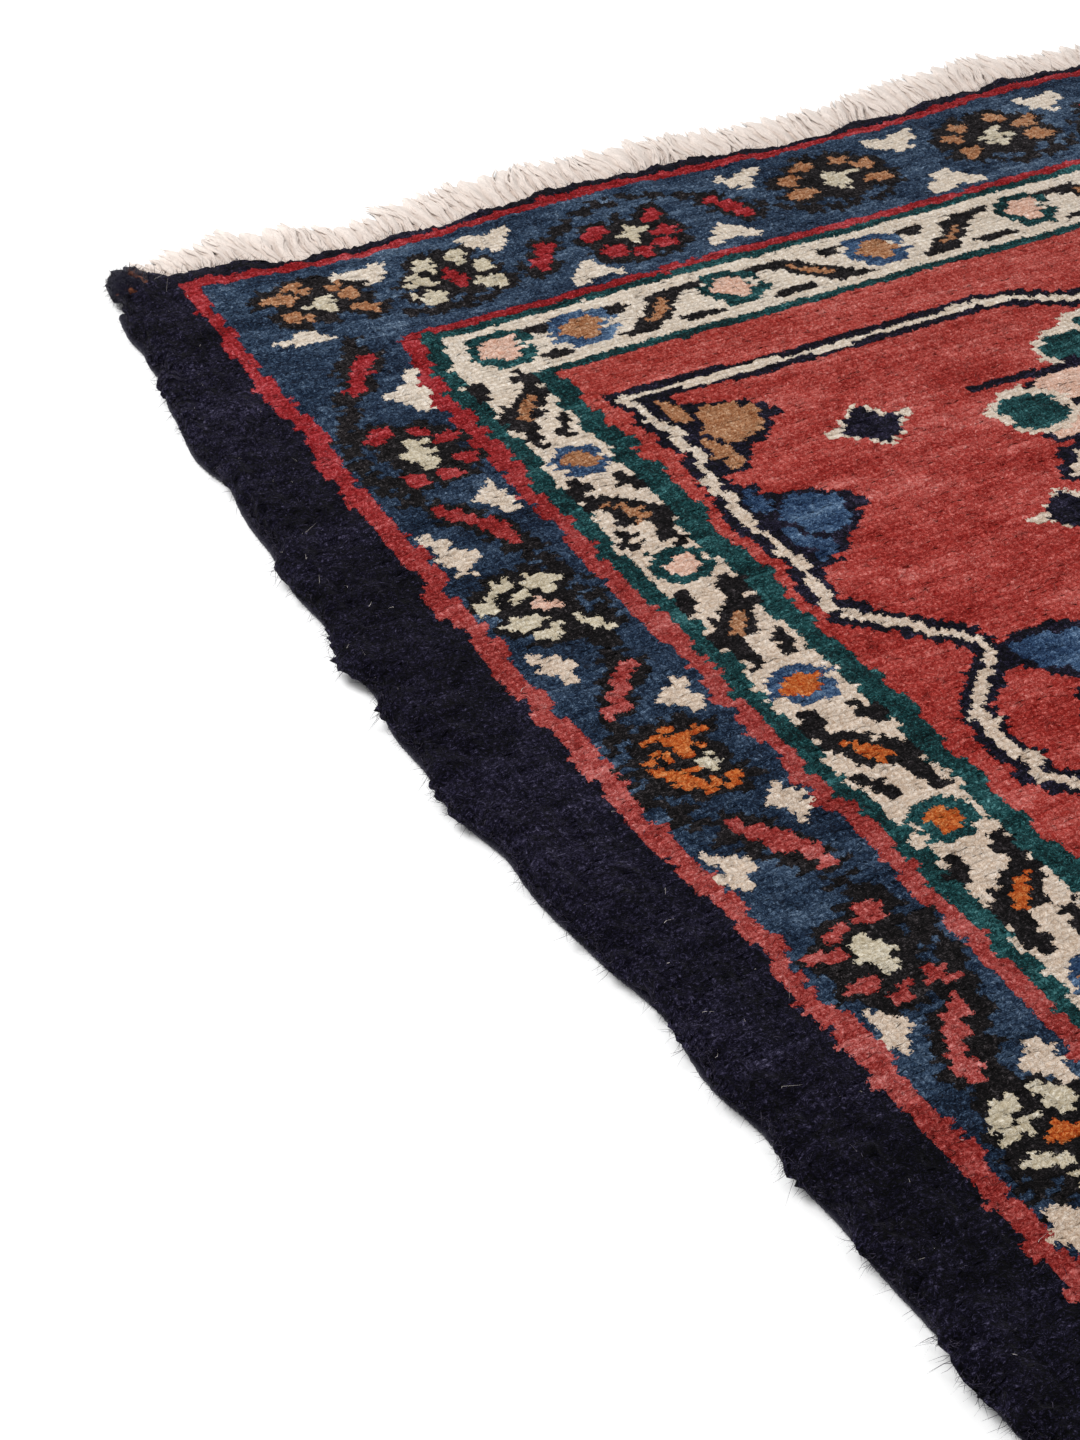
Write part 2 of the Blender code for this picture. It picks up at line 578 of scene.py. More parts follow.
BROWN = {"P": "O", "H": "W"}
ORANGE = {"P": "T", "H": "W"}
RED = {"P": "R", "H": "W", "L": "R"}
WHITE_AND_RED = {"P": "W", "H": "R"}
WHITE_AND_PINK = {"P": "W", "H": "P"}
WHITE_AND_ORANGE = {"P": "W", "H": "T"}

# Twin is the column of the partner on the right of an end. Without one, the partner is the mirror
# image on the other half of the side.
Motif = namedtuple("Motif", "chart row column twin yarns", defaults=(None, {}))
END_MOTIFS = (
    Motif(SMALL_FLOWER, 16, 34, 254, BROWN),
    Motif(WHITE_FLOWER, 18, 56, 233, WHITE_AND_RED),
    Motif(BUD, 20, 72, 217, RED),
    Motif(SMALL_FLOWER[::-1], 21, 89, 200, RED),
    Motif(mirrored(BUD), 19, 109, 184, RED),
    Motif(END_FLOWER, 17, 129, 164, BROWN),
)
END_HOOKS = (
    Motif(END_HOOK, 11, 44, 244),
    Motif(END_HOOK, 11, 67, 222),
    Motif(END_HOOK, 11, 115, 179),
    Motif(END_HOOK, 11, 146, 147),
    Motif(END_HOOK[::-1], 28, 77, 212),
    Motif(END_HOOK[::-1], 27, 104, 189),
    Motif(END_HOOK[::-1], 28, 146, 147),
    Motif(SLIVER, 27, 27, 261),
)
SIDE_MOTIFS = (
    Motif(LEANING_LEAF, 41, 30, yarns=RED),
    Motif(SIDE_FLOWER, 66, 29, yarns=RED),
    Motif(LEAF, 88, 27, yarns=RED),
    Motif(ROSE, 111, 26, yarns=WHITE_AND_PINK),
    Motif(LEANING_LEAF, 133, 27, yarns=RED),
    Motif(LOW_FLOWER, 151, 27, yarns=ORANGE),
    Motif(LEAF, 172, 28, yarns=RED),
    Motif(mirrored(SIDE_FLOWER), 196, 26, yarns=RED),
    Motif(mirrored(LEAF), 214, 27, yarns=RED),
    Motif(ROSE, 233, 27, yarns=WHITE_AND_ORANGE),
    Motif(LEAF, 256, 29, yarns=RED),
)
SIDE_HOOKS = (
    Motif(TALL_HOOK, 49, 35),
    Motif(SIDE_HOOK, 82, 33),
    Motif(SPIKE, 93, 21),
    Motif(SMALL_HOOK, 124, 22),
    Motif(SIDE_HOOK, 138, 33),
    Motif(SLIM_HOOK, 165, 34),
    Motif(mirrored(SIDE_HOOK), 173, 21),
    Motif(mirrored(SIDE_HOOK), 208, 21),
    Motif(SIDE_HOOK, 221, 33),
    Motif(mirrored(SIDE_HOOK), 244, 21),
)
# Where the cream guard's squares lie along the far end and down the left side, and their yarns.
GUARD_ROW = 44
GUARD_COLUMN = 48
END_SQUARES = (53, 67, 94, 122, 152, 180, 207, 221, 235)
SIDE_SQUARES = (45, 79, 111, 144, 178, 213, 256)
NARROW_GAP = 20
SQUARE_YARNS = ({"F": "G", "M": "P"}, {"F": "D", "M": "O"})
SIDE_MIDDLES = "OPTTOP"
SIDE_ESS_YARNS = "OOOTTT"

# The dark vine's middle and swing, where it starts and how long its waves are, in knots.
SIDE_VINE = {"middle": 27, "swing": -7.0, "start": 65, "length": 88}
SIDE_VINE_FIRST = 30
END_VINE = {"middle": 18.5, "swing": 10.0, "start": 54, "length": 74}
END_VINE_COLUMNS = (44, 137)
END_VINE_MIDDLE = 147

# The field's outline: rows and columns along the middle of its cream line, in the far left quarter.
FIELD_LINE = (
    (74.5, 144.0),
    (73.5, 140.0),
    (69.0, 132.0),
    (67.8, 124.0),
    (68.2, 97.0),
    (66.8, 62.7),
    (84.0, 63.6),
    (96.0, 62.6),
    (128.0, 61.3),
    (133.0, 62.0),
    (145.0, 71.5),
    (150.5, 74.2),
    (154.5, 70.0),
    (161.5, 64.2),
    (177.5, 64.2),
    (185.0, 70.0),
    (189.5, 74.2),
    (195.0, 71.5),
    (207.0, 62.0),
    (256.0, 61.3),
)
LINE_NAVY = 2.5
LINE_CREAM = 0.85
STARS = ((92, 91), (127, 105), (205, 78))
SIDE_PALMETTE_ROW = 170
SIDE_PALMETTE_COLUMN = 84
# The ovals of the palmette that hangs below the outline's notch: the row, how far left of the middle,
# half the height and half the width, the yarn, and the edge's yarn, width and turn.
PENDANT = (
    (104, 0, 18, 24, "R", "N"),
    (83, 5, 4.0, 4.5, "G", "C"),
    (86.5, 13, 4.2, 5.2, "G", "C", 1.7, -25),
    (96, 18, 4.6, 8.5, "P", "N", 1.3, -12),
    (106, 24.5, 3.0, 6.5, "P", "N", 1.5, -22),
    (100.5, 29, 5.2, 6.0, "G", "C", 1.6, 10),
    (117, 29, 3.2, 4.8, "C", "N", 2.3, -30),
    (120, 12, 4.0, 6.0, "G", "C", 2.0, 30),
    (125, 0, 5.0, 5.0, "P", "N"),
    (106, 0, 10, 11, "D", "N"),
    (106, 0, 5.5, 6.0, "O", "C"),
)
PENDANT_STEM = ((90.5, 111.0), (91.5, 131.0))
# The medallion: how much longer than wide, its scallops, and its two rings of petals.
MEDALLION_STRETCH = 1.45
MEDALLION_REACH = 52
SCALLOP = 4.5
HEART_REACH = 33
HEART_WAVE = 3.0
OUTER_PETALS = {"count": 16, "reach": 44, "yarns": "PGOC"}
INNER_PETALS = {"count": 8, "reach": 21, "yarns": "CG"}
MEDALLION_STEM = ((131.0, 144.0), (176.0, 144.0))
STEM_LEAF_ROWS = (142, 158)

# The side cords with their knobs, and the fringe.
CORD_RADIUS = 0.0027
CORD_CLEARANCE = 0.0010
CORD_END = 0.004
CORD_WRAP = 0.0026
CORD_RINGS_PER_WRAP = 2
CORD_SIDES = 8
CORD_RIDGE = 0.16
CORD_WOBBLE = 0.05
CORD_PUSH = 0.0006
KNOB_SIZES = (0.0120, 0.0138, 0.0080)
KNOB_INWARD = 0.0110
KNOB_BACK = 0.0045
KNOB_LIFT = 0.0004
KNOB_RINGS = 14
KNOB_SIDES = 22
KNOB_RIDGE = 0.07
KNOB_UNEVEN = 0.08
KNOB_WRAPS = 9
KNOB_TWIST = 2
LOCKS = 130
LOCK_LENGTH = 0.044
LOCK_GAIN = 0.003
LOCK_UNEVEN = (-0.004, 0.003)
LOCK_LEAN = 0.010
STRIP_WIDTH = 0.0055
FRINGE_TUCK = 0.004
FRINGE_LEVEL = 0.0010
FRINGE_FALL = 0.0022
FRINGE_END_MARGIN = 0.020
FRINGE_CURL = 0.0020
CURL_START = 0.3
CURL_TURNS = 0.9
CURL_SPREAD = 0.15
FRINGE_CREST = 0.0046
CREST_SHARES = (0.7, 1.0)
# The fringe shortens over this distance towards a corner, down to this share of its length.
FRINGE_CORNER = 0.06
CORNER_SHARE = 0.4
FRINGE_CLUMP = 0.004
FRINGE_CLUMP_LENGTHS = (0.11, 0.047)
FRINGE_SIDE_LEAN = 0.003
FRINGE_MIDDLE_LEAN = 0.014
FRINGE_MIDDLE_REACH = 0.30
FRINGE_ROUND = 0.0075
FRINGE_VALLEY = 0.75
FRINGE_MAT = {"count": 1041, "steps": 11, "gather": 0.30, "curl": 0.0, "stray": 0.0, "uneven": 0.0006,
              "rough": 0.00030}
FRINGE_STRANDS = {"count": 660, "steps": 9, "gather": 0.45, "curl": 0.0011, "stray": 0.0012,
                  "uneven": 0.0016, "rough": 0.00035}
STRAND_RADIUS = 0.00105
STRAND_SIDES = 4
STRAND_SINK = 0.0005
# A strand's radius: how much of it goes towards its end, what is left at the tip, and how it varies.
STRAND_TAPER = 0.3
STRAND_TIP = 0.4
STRAND_SIZES = (0.7, 1.25)
STRAND_FLOOR_GAP = 0.0002
# How pale the cotton is at its root, how much more at its tip, and how much less between two locks, where
# shade is painted.
ROOT_PALENESS = 0.42
TIP_PALENESS = 0.58
VALLEY_SHADOW = 0.70
FLUFF = 300
FLUFF_LENGTH = 0.0040
FLUFF_WANDER = 0.8
FLUFF_PALENESS = 0.9

# Loose wool fibres: how many, how long and how far they wander from straight.
RIM_FIBRES = 19500
TOP_FIBRES = 4500
RIM_FIBRE_LENGTH = 0.0074
TOP_FIBRE_LENGTH = 0.0045
CORD_FIBRES = 1500
KNOB_FIBRES = 1300
CORD_FIBRE_LENGTH = 0.5 * RIM_FIBRE_LENGTH
KNOB_FIBRE_LENGTH = 0.7 * RIM_FIBRE_LENGTH
LINT = 300
LINT_LENGTH = 0.0031
FIBRE_WIDTH = 0.00022
FIBRE_SAG = 0.35
# The shortest and the longest, as shares of their length, and how far the roots go in.
FIBRE_SHARES = (0.3, 1.0)
FIBRE_ROOT = 0.1
# How wide a fibre is at its middle and at its tip, beside its root.
FIBRE_MIDDLE = 0.8
FIBRE_TIP = 0.15
RIM_WANDER = 0.55
CORD_WANDER = 0.6
KNOB_WANDER = 0.8
TOP_WANDER = 1.2
LINT_WANDER = 2.5
# No fibre lies lower or stands higher than this.
FLOOR_GAP = 0.0003
FIBRE_TOP = 0.0220
# The rim's fibres grow from above this height.
FUZZ_BOTTOM = 0.0045

# How much the wool's clumps count beside its fibres, and the powers from its deepest to its palest, which
# paint shade in the gaps between fibres and highlights on their tips over the wool's own mottle.
CLUMP_SHARE = 0.6
GRAIN_AND_HIGHLIGHT_REACH = 0.24
GRAIN_AND_HIGHLIGHT_POWERS = (1.60, 0.52)
# How far the ribs' painted light and shade pale the wool on their crests and deepen it in their grooves, as
# a power, and how much they raise it.
RIB_SHADE_POWER = -0.16
RIB_BUMP = 1.3
# Colours as light, from 0 to 1.
WEFT = (0.55, 0.48, 0.40, 1.0)
RUST = (0.16, 0.05, 0.02, 1.0)
# Painted highlight on some of the loose navy fibres.
NAVY_FUZZ_HIGHLIGHT = (0.075, 0.065, 0.095, 1.0)
LINT_GREY = (0.50, 0.46, 0.43, 1.0)
DEEP_COTTON = (0.485, 0.40, 0.35, 1.0)
PALE_COTTON = (0.755, 0.68, 0.63, 1.0)

# The floor and the light.
FLOOR_HALF = 4.0
FLOOR_DROP = 0.0006
FLOOR_WHITE = 0.93
WORLD_LIGHT = 0.55
LAMPS = (
    {"name": "key", "where": (-1.7, 1.2, 2.4), "size": 1.4, "power": 82.0},
    {"name": "fill", "where": (2.4, 0.6, 2.2), "size": 2.6, "power": 15.0},
)
LIT_PLACE = (-0.2, 0.2, 0.0)

# The camera: 0.75 m above the pile, turned from the rug's length and tipped down, as in the photo.
CAMERA_PLACE = (-0.96203, -0.3975, 0.764)
CAMERA_YAW = 33.51
CAMERA_PITCH = 39.31
CAMERA_ROLL = 4.14
CAMERA_LENS = 68.42
SENSOR_HEIGHT = 36.0


# ---------------------------------------------------------------- places on the rug


def wave(distance, length, start=0.0):
    return np.cos(2 * math.pi * (distance - start) / length)


def side_drift(x, y):
    """How far a place near the left side moves along X."""
    from_edge = np.maximum(HALF_WIDTH + x, 0.0)
    from_end = HALF_LENGTH - y
    bow = SIDE_BOW * wave(y, SIDE_BOW_LENGTH, SIDE_BOW_START)
    belly = BELLY * np.exp(-(((y - BELLY_AT) / BELLY_REACH) ** 2) - from_edge / BELLY_DEPTH)
    near_end = np.exp(-np.maximum(from_end, 0.0) / CORNER_PULL_ALONG)
    pull = CORNER_PULL * near_end * np.exp(-from_edge / CORNER_PULL_ACROSS)
    swells = sum(push * np.exp(-(((from_end - at) / reach) ** 2)) for at, reach, push in SIDE_SWELLS)
    swells = swells * np.exp(-from_edge / SIDE_SWELL_DEPTH)
    ripple = wave(y, RIPPLE_LENGTH) + wave(y, SHORT_RIPPLE * RIPPLE_LENGTH, SHORT_RIPPLE_START)
    return bow - belly + pull - swells + RIPPLE * ripple * np.exp(-from_edge / RIPPLE_DEPTH)


def end_drift(x, y):
    """How far a place near the far end moves along Y."""
    from_edge = np.maximum(HALF_LENGTH - y, 0.0)
    slow = END_WAVE * wave(x, END_WAVE_LENGTH, END_WAVE_START) * np.exp(-from_edge / END_WAVE_DEPTH)
    ear = 0.5 * EAR * (1 - np.tanh((x - EAR_END) / EAR_SOFTNESS)) * np.exp(-from_edge / EAR_DEPTH)
    ripple = wave(x, END_RIPPLE * RIPPLE_LENGTH) * np.exp(-from_edge / RIPPLE_DEPTH)
    return slow + ear + 0.5 * RIPPLE * ripple


def place(x, y):
    """The world place of a knot-space place: the solids' outline, with the sides' own swells."""
    left_share = (HALF_WIDTH - x) / (2 * HALF_WIDTH)
    far_share = (HALF_LENGTH + y) / (2 * HALF_LENGTH)
    across = left_share * side_drift(x, y) - (1 - left_share) * side_drift(-x, -y)
    along = far_share * end_drift(x, y) - (1 - far_share) * end_drift(-x, -y)
    return x + across, y + along


def knot_places(rows, columns):
    """Knot-space X and Y of places on the knot grid."""
    return -HALF_WIDTH + columns * KNOT_WIDTH, HALF_LENGTH - rows * KNOT_HEIGHT


def rounded(x, y):
    """Pulls the knot grid's square corners in to the rug's rounded ones."""
    over_x = np.maximum(np.abs(x) - (HALF_WIDTH - CORNER_RADIUS), 0.0)
    over_y = np.maximum(np.abs(y) - (HALF_LENGTH - CORNER_RADIUS), 0.0)
    share = np.maximum(over_x, over_y) / np.maximum(np.hypot(over_x, over_y), 1e-9)
    share = np.where(over_x + over_y > 0, share, 1.0)
    return x - np.sign(x) * over_x * (1 - share), y - np.sign(y) * over_y * (1 - share)


def pile_height(x, y):
    inset = np.minimum(HALF_WIDTH - np.abs(x), HALF_LENGTH - np.abs(y))
    fall = np.clip(1 - inset / RIM_DEPTH, 0.0, 1.0)
    swell = SWELL * wave(x, SWELL_ACROSS, SWELL_ACROSS_START) * wave(y, SWELL_ALONG)
    return RIM_HEIGHT + (THICKNESS - RIM_HEIGHT) * np.sqrt(1 - fall**2) - SWELL + swell


def even_noise(chance, shape, down, along):
    """Noise with a spread of 1, blurred over this many places each way, down and along."""
    noise = chance.standard_normal(shape)
    for axis, reach in enumerate((down, along)):
        noise = sum(np.roll(noise, shift, axis) for shift in range(-reach, reach + 1))
    return noise / noise.std()


def layered_noise(chance, shape, layers):
    return sum(part * even_noise(chance, shape, down, along) for down, along, part in layers)


# ---------------------------------------------------------------- the pattern, in knots


def stamp(plan, chart, row, column, yarns):
    """Lays a letter chart on the plan with its middle at this knot. A dot leaves the knot as it is."""
    top = row - len(chart) // 2
    for down, line in enumerate(chart):
        left = column - len(line) // 2
        for along, letter in enumerate(line):
            if letter != ".":
                plan[top + down, left + along] = yarns.get(letter, letter)


def stamp_both(plan, chart, row, column, yarns):
    """Stamps a chart, and its half-turned copy on the opposite side of the rug."""
    stamp(plan, chart, row, column, yarns)
    stamp(plan, mirrored(chart)[::-1], ROWS - 1 - row, COLUMNS - 1 - column, yarns)


def stamp_motif(plan, motif):
    """Stamps a motif and its partner, and the half-turned copies of both."""
    chart, row, column, twin, yarns = motif
    stamp_both(plan, chart, row, column, yarns)
    if twin:
        stamp_both(plan, mirrored(chart), row, twin, yarns)
    elif row != MIDDLE_ROW:
        stamp_both(plan, chart[::-1], ROWS - 1 - row, column, yarns)


def knot_grid(plan):
    rows, columns = plan.shape
    return np.mgrid[0:rows, 0:columns].astype(float)


def stroke(plan, points, half_width, yarn):
    """Draws a line through these rows and columns."""
    rows, columns = knot_grid(plan)
    nearest = np.full(plan.shape, np.inf)
    for (row, column), (next_row, next_column) in zip(points, points[1:]):
        down, along = next_row - row, next_column - column
        share = (rows - row) * down + (columns - column) * along
        share = np.clip(share / (down**2 + along**2), 0.0, 1.0)
        away = np.hypot(rows - row - share * down, columns - column - share * along)
        nearest = np.minimum(nearest, away)
    plan[nearest < half_width] = yarn


def blot(plan, row, column, half_height, half_width, yarn, edge=None, edge_width=2.0, turn=0.0):
    """An oval, with an edge of another yarn round it if one is named; turn is in degrees."""
    rows, columns = knot_grid(plan)
    cosine, sine = math.cos(math.radians(turn)), math.sin(math.radians(turn))
    down, along = rows - row, columns - column
    long_way = along * cosine + down * sine
    short_way = down * cosine - along * sine
    for one, more in ((edge, edge_width), (yarn, 0.0)):
        if one:
            inside = (long_way / (half_width + more)) ** 2 + (short_way / (half_height + more)) ** 2 < 1
            plan[inside] = one


def paint_stripes(plan):
    for column, row, yarn in STRIPES:
        plan[row : ROWS - row, column : COLUMNS - column] = yarn


def paint_side_palmette(quarter):
    """The blue palmette between the two notches of the outline."""
    middle, column = SIDE_PALMETTE_ROW, SIDE_PALMETTE_COLUMN
    for side in (-1, 1):
        blot(quarter, middle + side * 14, column, 4.5, 9.5, "D", "N", turn=-side * 28)
        blot(quarter, middle + side * 6, column + 7, 4.0, 7.5, "D", "N", turn=-side * 12)
    blot(quarter, middle, column, 6.0, 6.5, "O", "N")
    blot(quarter, middle, column, 2.6, 3.0, "R", "C", 1.2)


def paint_pendant(quarter):
    """The palmette that hangs between the outline's notch and the medallion."""
    for row, left, *rest in PENDANT:
        blot(quarter, row, MIDDLE_COLUMN - left, *rest)
    stroke(quarter, PENDANT_STEM, 1.0, "N")


def ring_places(petals):
    """Row, column and yarn of each petal in a ring round the medallion's middle."""
    count, reach = petals["count"], petals["reach"]
    for petal in range(count):
        turn = 2 * math.pi * (petal + 0.5) / count
        row = MIDDLE_ROW + MEDALLION_STRETCH * reach * math.sin(turn)
        yield row, MIDDLE_COLUMN + reach * math.cos(turn), petals["yarns"][petal % len(petals["yarns"])]


def paint_medallion(quarter):
    """A round medallion in the middle, with a scalloped navy ground and rings of petals."""
    rows, columns = knot_grid(quarter)
    down, along = (rows - MIDDLE_ROW) / MEDALLION_STRETCH, columns - MIDDLE_COLUMN
    angle, reach = np.arctan2(down, along), np.hypot(down, along)
    scallop = MEDALLION_REACH + SCALLOP * np.abs(np.cos(4 * angle))
    heart = HEART_REACH + HEART_WAVE * np.cos(8 * angle)
    scallops = ((scallop + 4.5, "N"), (scallop + 2.5, "C"), (scallop, "N"))
    for edge, yarn in scallops + ((heart + 3, "B"), (heart, "R")):
        quarter[reach < edge] = yarn
    for row, column, yarn in ring_places(OUTER_PETALS):
        blot(quarter, row, column, 6.0, 4.6, yarn, "K", 1.4)
    for row, column, yarn in ring_places(INNER_PETALS):
        blot(quarter, row, column, 9.0, 6.0, yarn, "N")
        blot(quarter, row, column, 3.5, 2.4, "O")
    blot(quarter, MIDDLE_ROW, MIDDLE_COLUMN, 14, 10, "B", "N")
    blot(quarter, MIDDLE_ROW, MIDDLE_COLUMN, 7, 5, "P", "C")
    stroke(quarter, MEDALLION_STEM, 1.2, "N")
    for row in STEM_LEAF_ROWS:
        blot(quarter, row, MIDDLE_COLUMN - 8, 2.4, 6.0, "B", "N", turn=25)


def paint_field(plan):
    """Paints the far left quarter of the field, and mirrors it to the other three."""
    quarter = plan[: MIDDLE_ROW + 1, : MIDDLE_COLUMN + 1]
    stamp(quarter, PALMETTE, 81, 73, {"L": "O"})
    stamp(quarter, PALMETTE, 109, 72, {"L": "D"})
    for row, column in STARS:
        stamp(quarter, STAR, row, column, {})
    paint_side_palmette(quarter)
    paint_medallion(quarter)
    paint_pendant(quarter)
    stroke(quarter, FIELD_LINE, LINE_NAVY, "N")
    stroke(quarter, FIELD_LINE, LINE_CREAM, "C")
    inner = quarter[FIELD.row :, FIELD.column :]
    far, left = slice(FIELD.row, MIDDLE_ROW + 1), slice(FIELD.column, MIDDLE_COLUMN + 1)
    near, right = slice(MIDDLE_ROW, ROWS - FIELD.row), slice(MIDDLE_COLUMN, COLUMNS - FIELD.column)
    plan[far, right] = inner[:, ::-1]
    plan[near, left] = inner[::-1]
    plan[near, right] = inner[::-1, ::-1]


def vine_place(vine, distance):
    turn = 2 * math.pi * (distance - vine["start"]) / vine["length"]
    return round(vine["middle"] + vine["swing"] * math.cos(turn))


def paint_vines(plan, chance):
    """The dark vine that winds along the blue border, passing each flower on the other side."""
    vine = np.zeros(plan.shape, bool)
    for row in range(SIDE_VINE_FIRST, MIDDLE_ROW + 1):
        column = vine_place(SIDE_VINE, row)
        vine[[row, ROWS - 1 - row], column - 1 : column + 2] = True
    for column in range(*END_VINE_COLUMNS):
        row = vine_place(END_VINE, column)
        vine[row - 1 : row + 1, [column, 2 * END_VINE_MIDDLE - column]] = True
    vine |= vine[::-1, ::-1]
    plan[vine & (chance.random(plan.shape) < VINE_SHARE)] = "K"


def thicken_outlines(plan, chance):
    """Dark outlines spread into many of the blue knots beside them, and a few of the petals'."""
    dark = plan == "K"
    near = np.roll(dark, 1, 0) | np.roll(dark, -1, 0) | np.roll(dark, 1, 1) | np.roll(dark, -1, 1)
    draw = chance.random(plan.shape)
    plan[near & (plan == "B") & (draw < OUTLINE_SPREAD)] = "K"
    plan[near & np.isin(plan, ("O", "W", "T", "P")) & (draw < PETAL_NIBBLE)] = "K"


def paint_border(plan, chance):
    paint_vines(plan, chance)
    for motif in END_MOTIFS + SIDE_MOTIFS:
        stamp_motif(plan, motif)
    thicken_outlines(plan, chance)
    for motif in END_HOOKS + SIDE_HOOKS:
        stamp_motif(plan, motif)


def lean_guard(plan):
    """Slides the guard's outer lines in along the rows next to two opposite corners."""
    outer = GUARD_LINE.column
    inner = outer + GUARD_LEAN_WIDTH
    first, last = GUARD_LEAN_ROWS
    for row in range(first, last):
        slide = round(GUARD_LEAN * (1 - (row - first) / (last - first)))
        lines = plan[row, outer : inner - slide].copy()
        plan[row, outer : outer + slide] = "B"
        plan[row, outer + slide : inner] = lines
        plan[ROWS - 1 - row, COLUMNS - inner : COLUMNS - outer] = plan[row, outer:inner][::-1]


def paint_guard(plan):
    """Squares of two kinds in the cream guard, with a dark S between each two."""
    for index, (start, end) in enumerate(zip(END_SQUARES, END_SQUARES[1:])):
        chart = CORNER_ESS if end - start < NARROW_GAP else END_ESS
        chart = chart if index % 2 else mirrored(chart)
        stamp_both(plan, chart, GUARD_ROW + 1, (start + end) // 2, {})
    for index, column in enumerate(END_SQUARES):
        stamp_both(plan, END_SQUARE, GUARD_ROW, column, SQUARE_YARNS[index % 2])
    for index, (start, end) in enumerate(zip(SIDE_SQUARES, SIDE_SQUARES[1:])):
        chart = SIDE_ESS if index % 2 else mirrored(SIDE_ESS)
        yarns = {"O": SIDE_ESS_YARNS[index]}
        stamp_motif(plan, Motif(chart, (start + end) // 2, GUARD_COLUMN, yarns=yarns))
    for index, row in enumerate(SIDE_SQUARES[1:]):
        yarns = SQUARE_YARNS[(index + 1) % 2] | {"M": SIDE_MIDDLES[index]}
        stamp_motif(plan, Motif(SIDE_SQUARE, row, GUARD_COLUMN, yarns=yarns))


def with_slips(plan, chance):
    """The weaver's unevenness: colour edges slip by a knot here and there."""
    rows, columns = knot_grid(plan).astype(int)
    inside = (rows > 1) & (rows < ROWS - 2) & (columns > 1) & (columns < COLUMNS - 2)
    across = np.rint(layered_noise(chance, plan.shape, SLIPS_ACROSS)).astype(int)
    down = np.rint(layered_noise(chance, plan.shape, SLIPS_DOWN)).astype(int)
    return plan[rows + down.clip(-1, 1) * inside, columns + across.clip(-1, 1) * inside]


def knot_plan(chance):
    plan = np.full((ROWS, COLUMNS), "N")
    paint_stripes(plan)
    lean_guard(plan)
    paint_field(plan)
    paint_border(plan, chance)
    paint_guard(plan)
    return with_slips(plan, chance)


def linear(colour):
    """A colour from 0 to 255 as the eye sees it, as light from 0 to 1."""
    shares = np.array(colour) / 255
    return np.where(shares <= 0.04045, shares / 12.92, ((shares + 0.055) / 1.055) ** 2.4)


def knot_colours(plan, chance):
    """Each knot's own colour: its yarn's, turning to its middle colour away from the ends, where the
    field's red is painted deeper as shade, and a little paler or deeper by knot, row and dye lot.
    """
    rows, columns = np.ogrid[0:ROWS, 0:COLUMNS]
    from_end = np.minimum(rows, ROWS - 1 - rows)
    from_side = np.minimum(columns, COLUMNS - 1 - columns)
    # Away from the ends each yarn turns to its middle colour; the field's deeper red there is painted
    # shade.
    middle_share = np.clip((from_end - MIDDLE_DYE_AND_SHADE_START) / MIDDLE_DYE_AND_SHADE_ROWS, 0, 1)[..., None]
    colours, spread = np.zeros((*plan.shape, 3)), np.zeros(plan.shape)
    for letter, yarn in YARNS.items():
        end_colour, middle_colour = linear(yarn), linear(MIDDLE_DYE_AND_SHADE.get(letter, yarn))
        here = plan == letter
        colours = np.where(here[..., None], end_colour + (middle_colour - end_colour) * middle_share, colours)
        spread[here] = PATCH_SPREAD.get(letter, OTHER_PATCH_SPREAD)
    knots = KNOT_SPREAD * chance.standard_normal(plan.shape)
    row_tone = ROW_SPREAD * np.repeat(chance.standard_normal((ROWS, 1)), COLUMNS, 1)
    lots = layered_noise(chance, plan.shape, LOTS)
    patches = spread * layered_noise(chance, plan.shape, PATCHES)
    along_side = np.clip((from_end - from_side) / SIDE_DEPTH_KNOTS, 0, 1) * (plan == "B")
    change = np.clip(knots + row_tone + lots + patches, -MOST_SPREAD, MOST_SPREAD)
    return colours ** (1 + SIDE_DEPTH * along_side + change)[..., None]


# ---------------------------------------------------------------- meshes


def add_object(name, data):
    made = bpy.data.objects.new(name, data)
    bpy.context.scene.collection.objects.link(made)
    return made


def add_mesh(name, points, faces, finish, slot):
    mesh = bpy.data.meshes.new(name)
    mesh.from_pydata(points, [], faces)
    mesh.materials.append(finish)
    mesh.shade_smooth()
    piece = add_object(name, mesh)
    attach(piece, "root")
    return piece


def set_values(piece, **layers):
    """Keeps values on the mesh: colours where they come in threes, one a face or else one a point."""
    for name, values in layers.items():
        domain = "FACE" if len(values) == len(piece.data.polygons) else "POINT"
        kind, key = "FLOAT", "value"
        if values.ndim == 2:
            kind, key = "FLOAT_COLOR", "color"
            values = np.concatenate([values, np.ones((len(values), 1))], axis=1)
        layer = piece.data.attributes.new(name, kind, domain)
        layer.data.foreach_set(key, values.astype(np.float32).ravel())


def set_flat_map(piece):
    """A map that looks straight down, for the piece's bakes."""
    mesh = piece.data
    places = np.zeros(len(mesh.vertices) * 3)
    mesh.vertices.foreach_get("co", places)
    flat = places.reshape(-1, 3)[:, :2]
    flat = (flat - flat.min(0)) / (flat.max(0) - flat.min(0)).max()
    corners = np.zeros(len(mesh.loops), int)
    mesh.loops.foreach_get("vertex_index", corners)
    mesh.uv_layers.new(name="OFBake").data.foreach_set("uv", flat[corners].ravel())


